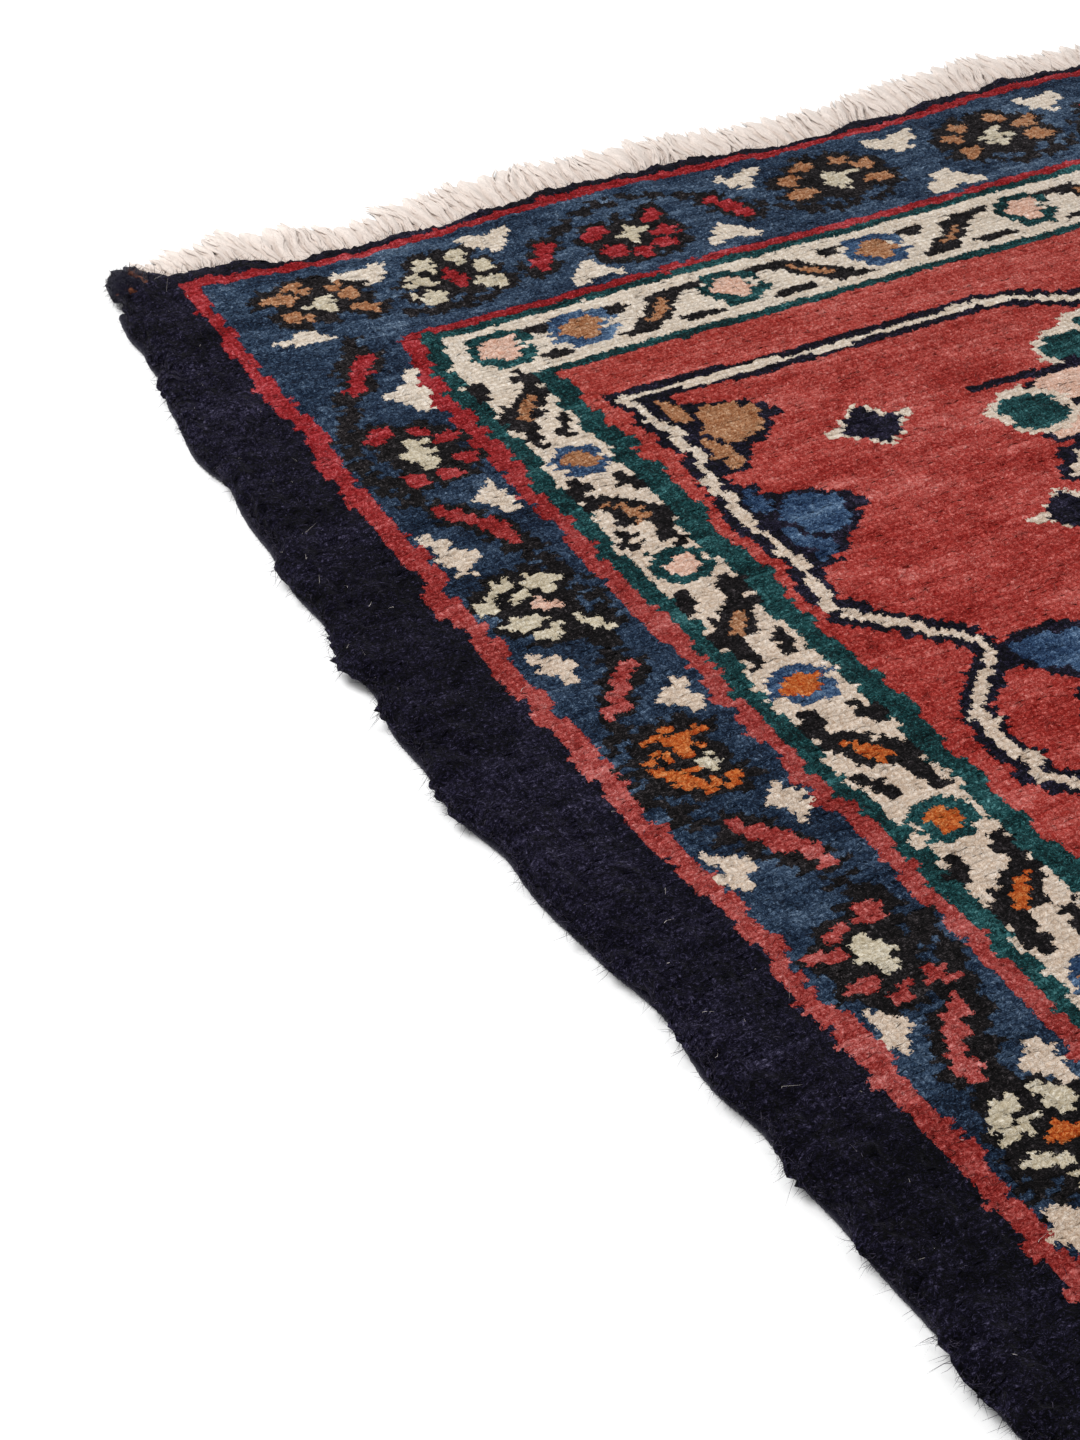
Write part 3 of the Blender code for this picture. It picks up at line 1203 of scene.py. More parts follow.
def edge_push(x, y, lumps):
    """How far the pile near the edge bulges outward, as shifts along X and Y."""
    side = np.exp(-np.maximum(HALF_WIDTH - np.abs(x), 0.0) / RIM_LUMP_DEPTH)
    from_corner = np.maximum(HALF_LENGTH - np.abs(y), 0.0)
    end = np.exp(-from_corner / RIM_LUMP_DEPTH)
    bulge = np.abs(np.sin(math.pi * from_corner / CORNER_BULGE_LENGTH + CORNER_BULGE_START)) ** 0.8 - 0.5
    bulge = CORNER_BULGE * bulge * np.exp(-from_corner / CORNER_BULGE_REACH)
    return np.sign(x) * side * (lumps + bulge - EDGE_TRIM), np.sign(y) * end * lumps


def settled(x, y, chance, inner=1.0):
    """World X and Y on the rounded pile, each a little off its place."""
    shift = TUFT_SCATTER * chance.standard_normal((2, *x.shape)) * inner
    world_x, world_y = place(*rounded(x, y))
    return world_x + shift[0], world_y + shift[1]


def pile_points(chance):
    """World places of the knots' shared corners and of their crowns, and how the edge bulges."""
    rows, columns = np.mgrid[0 : ROWS + 1, 0 : COLUMNS + 1].astype(float)
    x, y = knot_places(rows, columns)
    inner = (rows > 0) & (rows < ROWS) & (columns > 0) & (columns < COLUMNS)
    corner_x, corner_y = settled(x, y, chance, inner)
    lumps = RIM_LUMP * layered_noise(chance, rows.shape, RIM_LUMPS)
    push = np.stack(edge_push(x, y, lumps), axis=-1)
    inset = np.minimum(HALF_WIDTH - np.abs(x), END_CALM + HALF_LENGTH - np.abs(y))
    rise = TUFT_LUMP + EDGE_LUMP * np.exp(-inset / EDGE_LUMP_DEPTH)
    rise = rise * layered_noise(chance, rows.shape, TUFT_LUMPS).clip(*TUFT_LUMP_LIMITS)
    low = pile_height(x, y) + rise - TUFT_DIP + TUFT_UNEVEN * chance.standard_normal(rows.shape)
    corners = np.stack([corner_x, corner_y, low], axis=-1)
    corners[..., :2] += push
    rows, columns = np.mgrid[0:ROWS, 0:COLUMNS].astype(float)
    x, y = knot_places(rows + 0.5, columns + 0.5)
    row_level = ROW_UNEVEN * np.repeat(chance.standard_normal((ROWS, 1)), COLUMNS, 1)
    tuft_level = TUFT_UNEVEN * chance.standard_normal(rows.shape)
    high = pile_height(x, y) + rise[1:, 1:] + TUFT_CROWN + row_level + tuft_level
    crown_x, crown_y = settled(x, y, chance)
    crowns = np.stack([crown_x, crown_y - TUFT_LEAN, high], axis=-1)
    crowns[..., :2] += 0.25 * (push[:-1, :-1] + push[1:, :-1] + push[:-1, 1:] + push[1:, 1:])
    return corners, crowns, push


def zone_mask(outer, inner=None):
    """The knots from one stripe's start to another's."""
    mask = np.zeros((ROWS, COLUMNS), bool)
    mask[outer.row : ROWS - outer.row, outer.column : COLUMNS - outer.column] = True
    if inner:
        mask[inner.row : ROWS - inner.row, inner.column : COLUMNS - inner.column] = False
    return mask


def rib_share(row, column):
    """How strongly the overcast yarn ribs the pile at this place of the knot grid."""
    inset = KNOT_WIDTH * np.minimum(column, COLUMNS - column)
    from_end = KNOT_HEIGHT * np.minimum(row, ROWS - row)
    return np.exp(-inset / RIB_DEPTH - ((from_end - RIB_AT) / RIB_REACH) ** 2)


def pile_patch(mask, corners, crowns, colours):
    """Points, triangles and values of the chosen knots: four triangles round each crown."""
    rows, columns = np.nonzero(mask)
    width = COLUMNS + 1
    corner_count = corners.shape[0] * width
    far_left = rows * width + columns
    crown = corner_count + rows * COLUMNS + columns
    around = (far_left, far_left + 1, far_left + width + 1, far_left + width)
    faces, beside = [], []
    for wedge, (down, along) in enumerate(((-1, 0), (0, 1), (1, 0), (0, -1))):
        faces.append(np.stack([crown, around[(wedge + 1) % 4], around[wedge]], axis=1))
        beside.append(colours[np.clip(rows + down, 0, ROWS - 1), np.clip(columns + along, 0, COLUMNS - 1)])
    used, faces = np.unique(np.concatenate(faces), return_inverse=True)
    every = np.concatenate([corners.reshape(-1, 3), crowns.reshape(-1, 3)])
    at_corner = used < corner_count
    crown_row, crown_column = np.divmod(used - corner_count, COLUMNS)
    row = np.where(at_corner, used // width, crown_row + 0.5)
    column = np.where(at_corner, used % width, crown_column + 0.5)
    values = {
        "own_colour": np.tile(colours[rows, columns], (4, 1)),
        "beside_colour": np.concatenate(beside),
        "side_sign": np.repeat((1.0, 1.0, -1.0, -1.0), len(rows)),
        "towards_edge": at_corner.astype(float),
        "knot_row": row,
        "ribbed": rib_share(row, column),
    }
    return every[used], faces.reshape(-1, 3), values


def outline_loop():
    """Rows and columns of the knot corners round the pile, clockwise from the far left."""
    far = [(0, column) for column in range(COLUMNS)]
    right = [(row, COLUMNS) for row in range(ROWS)]
    near = [(ROWS, column) for column in range(COLUMNS, 0, -1)]
    left = [(row, 0) for row in range(ROWS, 0, -1)]
    return np.array(far + right + near + left).T


def add_rim(points, faces, values, corners, push, colours, chance):
    """Carries the outer band's edge round and under, ring by ring, down to the back."""
    rows, columns = outline_loop()
    count = len(rows)
    order = {tuple(np.round(point, 7)): index for index, point in enumerate(points)}
    last = np.array([order[tuple(np.round(point, 7))] for point in corners[rows, columns]])
    tone = np.tile(colours[rows.clip(0, ROWS - 1), columns.clip(0, COLUMNS - 1)], (2, 1))
    added = {"own_colour": tone, "beside_colour": tone, "side_sign": np.ones(2 * count)}
    added |= {"towards_edge": np.zeros(count), "knot_row": rows, "ribbed": rib_share(rows, columns)}
    x, y = rounded(*knot_places(rows, columns))
    for inset, height, loose in RIM_RINGS:
        ring_x, ring_y = place(x * (1 - inset / HALF_WIDTH), y * (1 - inset / HALF_LENGTH))
        spread = loose * RIM_SCATTER * chance.standard_normal((3, count))
        spread[:2] += loose * push[rows, columns].T
        made = np.stack([ring_x + spread[0], ring_y + spread[1], height + 0.5 * spread[2]], axis=1)
        this = len(points) + np.arange(count)
        after = np.roll(this, -1)
        walls = (np.stack([last, np.roll(last, -1), after], 1), np.stack([last, after, this], 1))
        points = np.concatenate([points, made])
        faces = np.concatenate([faces, *walls])
        values = {name: np.concatenate([old, added[name]]) for name, old in values.items()}
        last = this
    return points, faces, values


def add_pile(name, patch, finish):
    points, faces, values = patch
    piece = add_mesh(name, points, faces, finish, "pile_wool")
    set_values(piece, **values)
    set_flat_map(piece)
    return piece


def make_piles(colours, chance, finish):
    """The knotted pile, in five pieces that meet along shared knot corners, and the loose fibres."""
    corners, crowns, push = pile_points(chance)
    band = pile_patch(zone_mask(BAND, BORDER), corners, crowns, colours)
    band = add_rim(*band, corners, push, colours, chance)
    pieces = [add_pile("pile_outer_band", band, finish)]
    fuzz = band_fuzz(band[0], band[1], chance)
    far_half = np.arange(ROWS)[:, None] < MIDDLE_ROW
    masks = {
        "pile_border": zone_mask(BORDER, GUARD),
        "pile_guards": zone_mask(GUARD, FIELD),
        "pile_field_far": zone_mask(FIELD) & far_half,
        "pile_field_near": zone_mask(FIELD) & ~far_half,
    }
    for name, mask in masks.items():
        pieces.append(add_pile(name, pile_patch(mask, corners, crowns, colours), finish))
    return pieces, fuzz


def facings(points, faces):
    """Each face's normal, as long as twice its area."""
    first, second, third = (points[faces[:, index]] for index in range(3))
    return np.cross(second - first, third - first)


def fibres(points, faces, chance, count, length, wander):
    """Fine curved fibres that grow from random places of these faces, as bent strips."""
    first, second, third = (points[faces[:, index]] for index in range(3))
    facing = facings(points, faces)
    area = np.linalg.norm(facing, axis=1)
    pick = chance.choice(len(faces), count, p=area / area.sum())
    shares = chance.dirichlet((1.0, 1.0, 1.0), count)
    root = shares[:, :1] * first[pick] + shares[:, 1:2] * second[pick] + shares[:, 2:] * third[pick]
    ahead = facing[pick] / area[pick, None] + wander * chance.standard_normal((count, 3))
    ahead /= np.linalg.norm(ahead, axis=1, keepdims=True)
    bend = wander * chance.standard_normal((count, 3)) + (0.0, 0.0, -FIBRE_SAG)
    long = length * chance.uniform(*FIBRE_SHARES, (count, 1)) ** 1.5
    middle = root + 0.5 * long * ahead
    tip = middle + 0.5 * long * (ahead + bend)
    aside = np.cross(ahead, chance.standard_normal((count, 3)))
    aside *= FIBRE_WIDTH / 2 / np.linalg.norm(aside, axis=1, keepdims=True)
    root = root - FIBRE_ROOT * long * ahead
    strip = (root - aside, root + aside, middle + FIBRE_MIDDLE * aside, middle - FIBRE_MIDDLE * aside)
    strip += (tip + FIBRE_TIP * aside, tip - FIBRE_TIP * aside)
    made = np.stack(strip, axis=1)
    made[..., 2] = np.clip(made[..., 2], FLOOR_GAP, FIBRE_TOP)
    start = 6 * np.arange(count)[:, None]
    return made.reshape(-1, 3), np.concatenate([start + (0, 1, 2, 3), start + (3, 2, 4, 5)])


def band_fuzz(points, faces, chance):
    """The loose fibres of the outer band, long at the rim and short on top, and the lint."""
    level = points[faces].mean(axis=1)[:, 2]
    facing = facings(points, faces)
    facing /= np.linalg.norm(facing, axis=1, keepdims=True)
    outside = (level > FUZZ_BOTTOM) & (facing[:, 2] > -0.7)
    rim = outside & (level < RIM_HEIGHT)
    top = outside & ~rim
    long = fibres(points, faces[rim], chance, RIM_FIBRES, RIM_FIBRE_LENGTH, RIM_WANDER)
    short = fibres(points, faces[top], chance, TOP_FIBRES, TOP_FIBRE_LENGTH, TOP_WANDER)
    lint = fibres(points, faces[top], chance, LINT, LINT_LENGTH, LINT_WANDER)
    return joined((long, short)), lint


def make_back(colours, finish):
    """The woven back: a thin ground cloth on the floor that shows every second knot."""
    rows, columns = (ROWS + 1) // 2, (COLUMNS + 1) // 2
    down, along = np.mgrid[0 : rows + 1, 0 : columns + 1].astype(float)
    x = (along / columns - 0.5) * 2 * (HALF_WIDTH - UNDERCUT)
    y = (0.5 - down / rows) * 2 * (HALF_LENGTH - UNDERCUT)
    level = BACK_LEVEL + BACK_WEAVE * ((down + along) % 2)
    points = np.stack([*place(x, y), level], axis=-1).reshape(-1, 3)
    down, along = np.mgrid[0:rows, 0:columns]
    start = (down * (columns + 1) + along).ravel()
    faces = np.stack([start, start + 1, start + columns + 2, start + columns + 1], axis=1)
    piece = add_mesh("woven_back", points, faces, finish, "pile_wool")
    shown = colours[np.minimum(2 * down, ROWS - 1), np.minimum(2 * along, COLUMNS - 1)]
    set_values(piece, own_colour=shown.reshape(-1, 3))
    set_flat_map(piece)
    return piece


def ring_walls(count, length, sides):
    """Faces between rings of points: so many tubes, of so many rings, of so many sides."""
    tube, step, side = np.mgrid[0:count, 0 : length - 1, 0:sides]
    start = (tube * length + step) * sides
    here, beside = start + side, start + (side + 1) % sides
    return np.stack([here, beside, beside + sides, here + sides], axis=-1).reshape(-1, 4)


def tubes(routes, radii, sides):
    """Open tubes along routes of tubes by points by 3; radii are by tube and point, or by side too."""
    ahead = np.gradient(routes, axis=1)
    ahead /= np.linalg.norm(ahead, axis=2, keepdims=True)
    across = np.cross(ahead, (0.0, 0.0, 1.0))
    across /= np.maximum(np.linalg.norm(across, axis=2, keepdims=True), 1e-9)
    over = np.cross(across, ahead)
    rings = []
    for side in range(sides):
        turn = 2 * math.pi * side / sides
        radius = radii if radii.ndim == 2 else radii[..., side]
        rings.append(routes + radius[..., None] * (across * math.cos(turn) + over * math.sin(turn)))
    return np.stack(rings, axis=2).reshape(-1, 3), ring_walls(*routes.shape[:2], sides)


def ball(centre, sizes, chance):
    """A wound knob: an oval ball with ridges of yarn round it."""
    lift, turn = np.mgrid[0 : KNOB_RINGS + 1, 0:KNOB_SIDES]
    lift = (lift / KNOB_RINGS - 0.5) * math.pi
    turn = turn * 2 * math.pi / KNOB_SIDES
    ridge = 1 + KNOB_RIDGE * np.sin(KNOB_WRAPS * lift + KNOB_TWIST * turn)
    ridge = ridge + KNOB_UNEVEN * chance.standard_normal(lift.shape)
    shape = np.stack([np.cos(lift) * np.cos(turn), np.cos(lift) * np.sin(turn), np.sin(lift)], axis=-1)
    points = centre + shape * ridge[..., None] * sizes
    return points.reshape(-1, 3), ring_walls(1, KNOB_RINGS + 1, KNOB_SIDES)


def joined(parts):
    """One set of points and faces from several."""
    starts = np.cumsum([0] + [len(points) for points, faces in parts])
    faces = [faces + start for (points, faces), start in zip(parts, starts)]
    return np.concatenate([points for points, faces in parts]), np.concatenate(faces)


def turned(points):
    """Half a turn about +Z."""
    return points * (-1.0, -1.0, 1.0)


def cord_route(count):
    """Places along the middle of the left cord."""
    far = HALF_LENGTH - UNDERCUT - CORD_END
    y = np.linspace(-far, far, count)
    x, world_y = place(np.full(count, -HALF_WIDTH + UNDERCUT), y)
    pulled = edge_push(np.full(count, -HALF_WIDTH), y, 0.0)[0].clip(-CORD_PUSH, CORD_PUSH)
    x = x - CORD_RADIUS - CORD_CLEARANCE + pulled
    return np.stack([x, world_y, np.full(count, CORD_RADIUS)], axis=1)


def make_cord(name, node, finish, half_turn, chance):
    """One overcast cord: a tube with a ridge for each wrap of yarn, and a wound knob at each end."""
    count = int(2 * (HALF_LENGTH - UNDERCUT) / CORD_WRAP * CORD_RINGS_PER_WRAP)
    phase = 2 * math.pi * np.arange(count) / CORD_RINGS_PER_WRAP
    around = 2 * math.pi * np.arange(CORD_SIDES) / CORD_SIDES
    ridge = 1 - CORD_RIDGE * (0.5 + 0.5 * np.cos(phase[:, None] + around))
    wobble = np.minimum(1 + CORD_WOBBLE * chance.standard_normal((count, 1)), 1 + CORD_WOBBLE)
    tube = tubes(cord_route(count)[None], (CORD_RADIUS * ridge * wobble)[None], CORD_SIDES)
    parts = [tube, fibres(*tube, chance, CORD_FIBRES, CORD_FIBRE_LENGTH, CORD_WANDER)]
    plain = sum(len(points) for points, faces in parts)
    for end in (-1, 1):
        x, y = place(-HALF_WIDTH, end * HALF_LENGTH)
        centre = np.array((x + KNOB_INWARD, y - end * KNOB_BACK, KNOB_SIZES[2] + KNOB_LIFT))
        knob = ball(centre, np.array(KNOB_SIZES), chance)
        parts += [knob, fibres(*knob, chance, KNOB_FIBRES, KNOB_FIBRE_LENGTH, KNOB_WANDER)]
    points, faces = joined(parts)
    points[:, 2] = np.maximum(points[:, 2], FLOOR_GAP)
    piece = add_mesh(name, turned(points) if half_turn else points, faces, finish, "cord_wool")
    set_values(piece, rusty=(np.arange(len(points)) >= plain).astype(float))
    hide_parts(node)
    return piece


def lock_shapes(chance):
    """What each lock's strands share: its length, how it curls and how high it rises."""
    start, turns, swing, lots = (even_noise(chance, (1, LOCKS), 0, reach)[0] for reach in (4, 3, 1, 2))
    length = LOCK_LENGTH + LOCK_GAIN + FRINGE_CLUMP * np.clip(lots, -2, 1)
    return {
        "length": length + chance.uniform(*LOCK_UNEVEN, LOCKS),
        "start": CURL_START + CURL_SPREAD * start,
        "turns": CURL_TURNS + CURL_SPREAD * turns,
        "swing": FRINGE_CURL * swing,
        "crest": FRINGE_CREST * chance.uniform(*CREST_SHARES, LOCKS),
    }


def strand_routes(layer, locks, chance):
    """World places along a layer's strands, out from under the pile, and how pale they are there, with
    painted shade between the locks.
    """
    count = layer["count"]
    left = -HALF_WIDTH + FRINGE_END_MARGIN
    pitch = -2 * left / LOCKS
    middles = left + (np.arange(LOCKS) + 0.5) * pitch
    root = np.linspace(left, -left, count)
    middle = middles[np.clip(((root - left) / pitch).astype(int), 0, LOCKS - 1)]
    aside = (2 * (root - middle) / pitch).clip(-1, 1)
    locks = {name: np.interp(root, middles, values) for name, values in locks.items()}
    clump = 0.5 * (wave(root, FRINGE_CLUMP_LENGTHS[0]) + wave(root, FRINGE_CLUMP_LENGTHS[1], 0.01))
    grown = np.clip((-left - np.abs(root)) / FRINGE_CORNER, 0, 1)
    upright = FRINGE_MIDDLE_LEAN * np.exp(-((root / FRINGE_MIDDLE_REACH) ** 4))
    lean = (LOCK_LEAN * clump + upright - FRINGE_SIDE_LEAN) * grown
    lean = lean + layer["stray"] * chance.standard_normal(count)
    length = locks["length"] - FRINGE_ROUND * aside**2 + layer["uneven"] * chance.standard_normal(count)
    length *= CORNER_SHARE + (1 - CORNER_SHARE) * grown
    share = np.linspace(0, 1, layer["steps"])[None]
    x = root[:, None] + (middle - root)[:, None] * layer["gather"] * share + lean[:, None] * share**1.6
    shared = np.sin(2 * math.pi * (share * locks["turns"][:, None] + locks["start"][:, None]))
    own = np.sin(2 * math.pi * (share * 2.0 + chance.uniform(0, 1, (count, 1))))
    swing = locks["swing"][:, None] * shared + layer["curl"] * own
    x = x + swing * np.minimum(3 * share, 1.0)
    y = HALF_LENGTH - FRINGE_TUCK + (length + STRIP_WIDTH)[:, None] * share
    crest = locks["crest"] * (1 - FRINGE_VALLEY * aside**2) + layer["rough"] * chance.standard_normal(count)
    level = FRINGE_LEVEL + FRINGE_FALL * (1 - share) + crest[:, None] * np.sin(math.pi * share**0.8)
    shadow = VALLEY_SHADOW * (aside**4)[:, None] * (1 - 0.5 * share)
    pale = ROOT_PALENESS + TIP_PALENESS * share**2 - shadow
    return np.stack([*place(x, y), level], axis=-1), pale.ravel()


def sheet_through(routes):
    """One soft sheet that runs through all these routes."""
    count, steps = routes.shape[:2]
    strand, step = np.mgrid[0 : count - 1, 0 : steps - 1]
    start = (strand * steps + step).ravel()
    return routes.reshape(-1, 3), np.stack([start, start + steps, start + steps + 1, start + 1], axis=1)


def make_fringe(name, node, finish, half_turn, chance):
    """One end's fringe: a soft mat of locks, with fine strands and loose fibres over it."""
    locks = lock_shapes(chance)
    mat, mat_pale = strand_routes(FRINGE_MAT, locks, chance)
    routes, strand_pale = strand_routes(FRINGE_STRANDS, locks, chance)
    share = np.linspace(0, 1, FRINGE_STRANDS["steps"])
    taper = STRAND_RADIUS * (1 - STRAND_TAPER * share**2) * np.where(share < 1, 1.0, STRAND_TIP)
    radii = taper[None] * chance.uniform(*STRAND_SIZES, (FRINGE_STRANDS["count"], 1))
    routes[..., 2] = np.maximum(routes[..., 2] - STRAND_SINK, radii + STRAND_FLOOR_GAP)
    strands = tubes(routes, radii, STRAND_SIDES)
    fluff = fibres(*strands, chance, FLUFF, FLUFF_LENGTH, FLUFF_WANDER)
    points, faces = joined((sheet_through(mat), strands, fluff))
    piece = add_mesh(name, turned(points) if half_turn else points, faces, finish, "fringe_cotton")
    fluff_pale = np.full(len(fluff[0]), FLUFF_PALENESS)
    pale = np.concatenate([mat_pale, np.repeat(strand_pale, STRAND_SIDES), fluff_pale])
    set_values(piece, paleness=pale)
    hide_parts(node)
    return piece


# ---------------------------------------------------------------- materials


class Finish:
    """A material with short ways to add nodes; their inputs are numbers, colours or other outputs."""

    # The colour sockets of a mix node, which also has others for numbers and vectors.
    MIX_SHARE, MIX_FIRST, MIX_SECOND, MIXED = 0, 6, 7, 2

    def __init__(self, name, roughness, sheen=None, specular=0.08):
        self.material = bpy.data.materials.new(name)
        self.material.use_nodes = True
        self.tree = self.material.node_tree
        self.shader = self.tree.nodes["Principled BSDF"]
        self.feed(self.shader, {"Roughness": roughness, "Specular IOR Level": specular})
        if sheen:
            weight, softness, tint = sheen
            self.feed(self.shader, {"Sheen Weight": weight, "Sheen Roughness": softness})
            self.feed(self.shader, {"Sheen Tint": (*tint, 1.0)})

    def feed(self, node, inputs):
        for name, value in inputs.items():
            if isinstance(value, bpy.types.NodeSocket):
                self.tree.links.new(value, node.inputs[name])
            else:
                node.inputs[name].default_value = value

    def add(self, kind, inputs, **settings):
        node = self.tree.nodes.new("ShaderNode" + kind)
        for name, value in settings.items():
            setattr(node, name, value)
        self.feed(node, inputs)
        return node

    def place(self):
        """Places in the object's own space, in metres."""
        return self.add("TexCoord", {}).outputs["Object"]

    def value(self, name, output="Fac"):
        """A value that the mesh keeps."""
        return self.add("Attribute", {}, attribute_name=name).outputs[output]

    def noise(self, where, scale, detail, roughness, squeeze=None):
        if squeeze:
            where = self.add("Mapping", {"Vector": where, "Scale": squeeze}).outputs["Vector"]
        inputs = {"Vector": where, "Scale": scale, "Detail": detail, "Roughness": roughness}
        return self.add("TexNoise", inputs).outputs["Fac"]

    def computed(self, operation, *inputs):
        return self.add("Math", dict(enumerate(inputs)), operation=operation).outputs[0]

    def ramp(self, value, low, high, low_value, high_value):
        """Maps value from low..high to low_value..high_value, clamped."""
        inputs = {"Value": value, "From Min": low, "From Max": high}
        inputs |= {"To Min": low_value, "To Max": high_value}
        return self.add("MapRange", inputs).outputs["Result"]

    def mix(self, share, first, second):
        inputs = {self.MIX_SHARE: share, self.MIX_FIRST: first, self.MIX_SECOND: second}
        return self.add("Mix", inputs, data_type="RGBA").outputs[self.MIXED]

    def deepened(self, colour, power):
        """The colour to a power: deeper above 1, and paler below it."""
        return self.add("Gamma", {"Color": colour, "Gamma": power}).outputs["Color"]

    def scaled(self, colour, factor):
        """The colour times a number."""
        return self.add("VectorMath", {0: colour, "Scale": factor}, operation="SCALE").outputs["Vector"]

    def warped(self, where, scale, reach):
        """The places pushed about by a smooth noise, so that streaks over them curl."""
        noise = self.add("TexNoise", {"Vector": where, "Scale": scale, "Detail": 1.0})
        inputs = {0: noise.outputs["Color"], 1: (reach, reach, reach), 2: where}
        return self.add("VectorMath", inputs, operation="MULTIPLY_ADD").outputs["Vector"]

    def coloured(self, colour):
        """Sets the base colour and returns the finished material."""
        self.feed(self.shader, {"Base Color": colour})
        return self.material

    def bump(self, height, distance, strength):
        bump = self.add("Bump", {"Height": height, "Distance": distance, "Strength": strength})
        self.feed(self.shader, {"Normal": bump.outputs["Normal"]})


def yarn_light(letter):
    """A yarn's colour as light, with its alpha."""
    return tuple(float(part) for part in (*linear(YARNS[letter]), 1.0))


def side_ribs(finish, where):
    """Ribs across the sides, from -1 to 1, as strong as the pile's own value says."""
    turns = 2 * math.pi / RIB_LENGTH
    inputs = {0: finish.warped(where, 120.0, 0.004), 1: (RIB_SLANT * turns, turns, 0.0)}
    along = finish.add("VectorMath", inputs, operation="DOT_PRODUCT").outputs["Value"]
    return finish.computed("MULTIPLY", finish.computed("COSINE", along), finish.value("ribbed"))


def pile_material():
    """Cut wool pile: each knot's colour, ragged where two colours meet, with fine fibres over it, painted
    highlights on the fibres, and painted shade in the crevices between tufts, between the rows and in the
    grooves of the side ribs.
    """
    finish = Finish("pile_wool_knots", 0.95, (0.02, 0.5, (0.85, 0.82, 0.90)))
    where = finish.place()
    edge = finish.value("towards_edge")
    ragged = finish.ramp(finish.noise(where, 620.0, 2.0, 0.6), 0.28, 0.72, -0.80, 0.80)
    pushed = finish.computed("MULTIPLY", ragged, finish.value("side_sign"))
    share = finish.ramp(finish.computed("ADD", pushed, edge), 0.90, 1.10, 0.0, 1.0)
    colour = finish.mix(share, finish.value("own_colour", "Color"), finish.value("beside_colour", "Color"))
    curled = finish.warped(where, 300.0, 0.005)
    fibre = finish.noise(curled, 1500.0, 2.0, 0.6, (0.40, 1.0, 1.0))
    clump = finish.noise(where, 560.0, 2.0, 0.6)
    # Painted highlights on the fibres' tips and painted shade between them, over the wool's own mottle.
    grain_and_highlights = finish.computed("MULTIPLY_ADD", clump, CLUMP_SHARE, fibre)
    middle = 0.5 * (1 + CLUMP_SHARE)
    power = finish.ramp(grain_and_highlights, middle - GRAIN_AND_HIGHLIGHT_REACH, middle + GRAIN_AND_HIGHLIGHT_REACH, *GRAIN_AND_HIGHLIGHT_POWERS)
    # Painted shade in the crevices between the tufts: the colour deepens towards the knots' corners.
    crevice_shade_share = finish.computed("ADD", edge, clump)
    power = finish.computed("ADD", power, finish.ramp(crevice_shade_share, 0.9, 1.6, -0.02, 0.10))
    ribs = side_ribs(finish, where)
    # The ribs paint light on their crests and shade in their grooves.
    power = finish.computed("MULTIPLY_ADD", ribs, RIB_SHADE_POWER, power)
    # Painted shade in the grooves between knot rows, and a little painted light on the rows' crowns.
    row_turn = finish.computed("MULTIPLY", finish.value("knot_row"), 2 * math.pi)
    painted_row_shade = finish.ramp(finish.computed("COSINE", row_turn), -1, 1, 1.03, 0.95)
    # Painted shade darkens the crevices, and a little painted light brightens the tufts' crowns.
    painted_crevice_shade = finish.ramp(crevice_shade_share, 0.9, 1.6, 1.06, 0.88)
    # The painted shade of the rows and of the crevices together.
    depth = finish.computed("MULTIPLY", painted_row_shade, painted_crevice_shade)
    height = finish.computed("MULTIPLY_ADD", fibre, 0.5, clump)
    finish.bump(finish.computed("MULTIPLY_ADD", ribs, RIB_BUMP, height), 0.0009, 1.0)
    return finish.coloured(finish.scaled(finish.deepened(colour, power), depth))


def back_material():
    """The knots' backs: the same colours, flatter, with cotton wefts between the rows."""
    finish = Finish("woven_back_knots", 0.9, (0.1, 0.5, (0.8, 0.8, 0.8)))
    where = finish.place()
    rows_scale = 0.5 * math.pi / KNOT_HEIGHT / 10
    rows = finish.add("TexWave", {"Scale": rows_scale, "Vector": where}, bands_direction="Y")
    weft = finish.ramp(rows.outputs["Fac"], 0.0, 0.35, 0.55, 0.0)
    speck = finish.noise(where, 900.0, 2.0, 0.6)
    finish.bump(speck, 0.0006, 0.5)
    mixed = finish.mix(weft, finish.value("own_colour", "Color"), WEFT)
    return finish.coloured(finish.scaled(mixed, finish.ramp(speck, 0.3, 0.7, 0.75, 1.2)))


def cord_material():
    """Dark wrapped wool with a few rust threads."""
    finish = Finish("cord_wool_wrapped", 0.9, (0.25, 0.4, (0.75, 0.75, 0.85)))
    where = finish.place()
    rust = finish.ramp(finish.noise(where, 95.0, 2.0, 0.5), 0.56, 0.64, 0.0, 1.0)
    colour = finish.mix(finish.computed("MULTIPLY", rust, finish.value("rusty")), yarn_light("N"), RUST)
    fibre = finish.noise(where, 1900.0, 3.0, 0.7)
    finish.bump(fibre, 0.0006, 0.8)
    return finish.coloured(finish.scaled(colour, finish.ramp(fibre, 0.25, 0.75, 0.5, 1.7)))


def hair_material():
    """Loose navy fibres, some of them painted paler as highlights."""
    finish = Finish("pile_wool_fibres", 0.8, (0.1, 0.4, (0.8, 0.8, 0.9)))
    share = finish.ramp(finish.noise(finish.place(), 500.0, 1.0, 0.5), 0.40, 0.75, 0.0, 1.0)
    return finish.coloured(finish.mix(share, yarn_light("N"), NAVY_FUZZ_HIGHLIGHT))


def lint_material():
    return Finish("lint", 0.8, (0.1, 0.4, (1.0, 1.0, 1.0))).coloured(LINT_GREY)


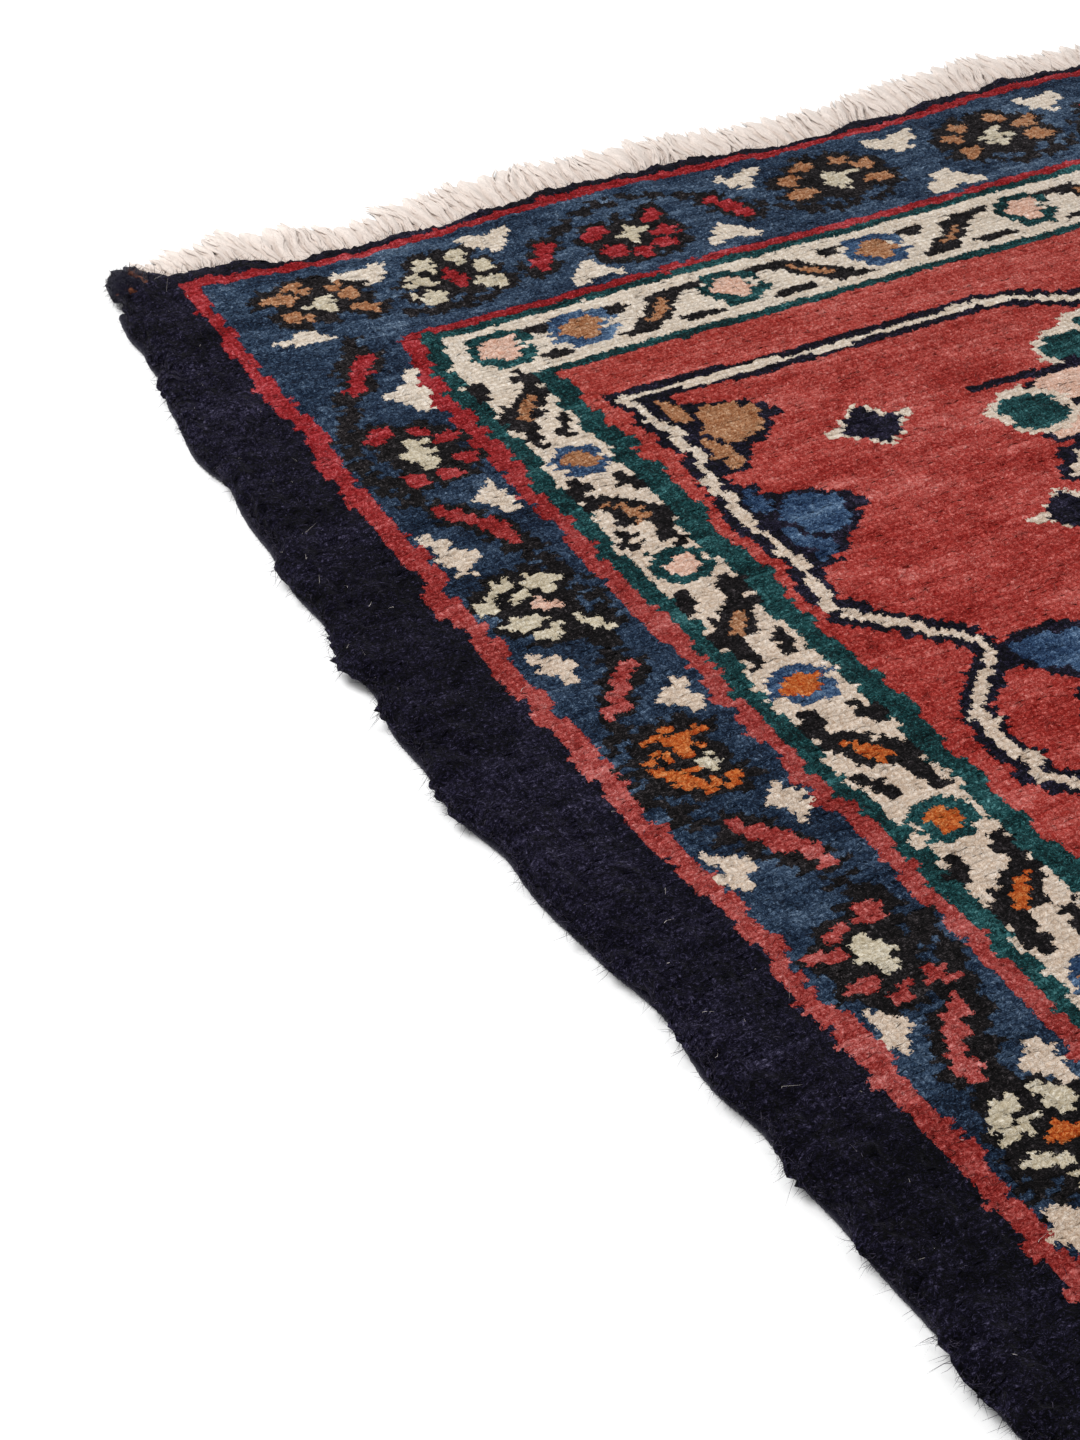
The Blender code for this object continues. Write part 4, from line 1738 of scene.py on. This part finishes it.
def fringe_material():
    """Undyed cotton, browner between the locks as painted shade, and paler towards the tips."""
    finish = Finish("fringe_cotton_yarn", 0.85, (0.15, 0.5, (1.0, 0.97, 0.93)))
    where = finish.place()
    patch = finish.noise(where, 60.0, 3.0, 0.6)
    pale = finish.computed("MULTIPLY_ADD", patch, 0.30, finish.value("paleness"))
    colour = finish.mix(finish.ramp(pale, 0.15, 1.15, 0.0, 1.0), DEEP_COTTON, PALE_COTTON)
    fibre = finish.noise(where, 1500.0, 3.0, 0.7, (1.0, 0.3, 1.0))
    streak = finish.noise(where, 480.0, 2.0, 0.6, (1.0, 0.12, 1.0))
    fine, broad = finish.ramp(fibre, 0.3, 0.7, 0.88, 1.08), finish.ramp(streak, 0.3, 0.7, 0.86, 1.06)
    finish.bump(finish.computed("MULTIPLY_ADD", streak, 1.5, fibre), 0.0006, 0.4)
    return finish.coloured(finish.scaled(colour, finish.computed("MULTIPLY", fine, broad)))


# ---------------------------------------------------------------- floor, light, camera


def make_floor():
    shape = bpy.data.meshes.new("floor")
    half = FLOOR_HALF
    corners = ((-half, -half), (half, -half), (half, half), (-half, half))
    shape.from_pydata([(x, y, -FLOOR_DROP) for x, y in corners], [], [(0, 1, 2, 3)])
    white = Finish("floor_white", 0.9, specular=0.1).coloured((FLOOR_WHITE, FLOOR_WHITE, FLOOR_WHITE, 1.0))
    shape.materials.append(white)
    floor = add_object("floor", shape)


def make_lamp(name, where, size, power):
    lamp = bpy.data.lights.new(name, "AREA")
    lamp.size = size
    lamp.energy = power
    made = add_object(name, lamp)
    made.location = where
    towards = Vector(LIT_PLACE) - Vector(where)
    made.rotation_euler = towards.to_track_quat("-Z", "Y").to_euler()


def make_light():
    world = bpy.data.worlds.new("studio")
    world.use_nodes = True
    background = world.node_tree.nodes["Background"]
    background.inputs["Color"].default_value = (1.0, 1.0, 1.0, 1.0)
    background.inputs["Strength"].default_value = WORLD_LIGHT
    bpy.context.scene.world = world
    for lamp in LAMPS:
        make_lamp(**lamp)


def make_camera():
    """A camera at the photo's place; yaw turns it from +Y towards +X, and pitch tips it down."""
    yaw, pitch, roll = (math.radians(angle) for angle in (CAMERA_YAW, CAMERA_PITCH, CAMERA_ROLL))
    ahead = Vector((math.sin(yaw) * math.cos(pitch), math.cos(yaw) * math.cos(pitch), -math.sin(pitch)))
    level_right = Vector((math.cos(yaw), -math.sin(yaw), 0.0))
    level_up = level_right.cross(ahead)
    right = math.cos(roll) * level_right + math.sin(roll) * level_up
    up = math.cos(roll) * level_up - math.sin(roll) * level_right
    turn = Matrix((right, up, -ahead)).transposed()
    camera = bpy.data.cameras.new("camera")
    camera.sensor_fit = "VERTICAL"
    camera.sensor_height = SENSOR_HEIGHT
    camera.lens = CAMERA_LENS
    made = add_object("camera", camera)
    made.matrix_world = Matrix.Translation(CAMERA_PLACE) @ turn.to_4x4()
    bpy.context.scene.camera = made


# ---------------------------------------------------------------- the rug


def make_rug():
    colours = knot_colours(knot_plan(np.random.default_rng(5)), np.random.default_rng(6))
    piles, fuzz = make_piles(colours, np.random.default_rng(7), pile_material())
    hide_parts("pile")
    back = make_back(colours, back_material())
    cord_wool = cord_material()
    cotton = fringe_material()
    cords = [
        make_cord("side_cord_left_wrapped", "side_cord_left", cord_wool, False, np.random.default_rng(8)),
        make_cord("side_cord_right_wrapped", "side_cord_right", cord_wool, True, np.random.default_rng(9)),
    ]
    fringes = [
        make_fringe("fringe_far_yarns", "fringe_far", cotton, False, np.random.default_rng(10)),
        make_fringe("fringe_near_yarns", "fringe_near", cotton, True, np.random.default_rng(11)),
    ]
    hairs = add_mesh("rim_fibres", *fuzz[0], hair_material(), "pile_wool")
    lint = add_mesh("lint_fibres", *fuzz[1], lint_material(), "pile_wool")


make_rug()
make_floor()
make_light()
make_camera()
bpy.context.scene.view_settings.view_transform = "Standard"
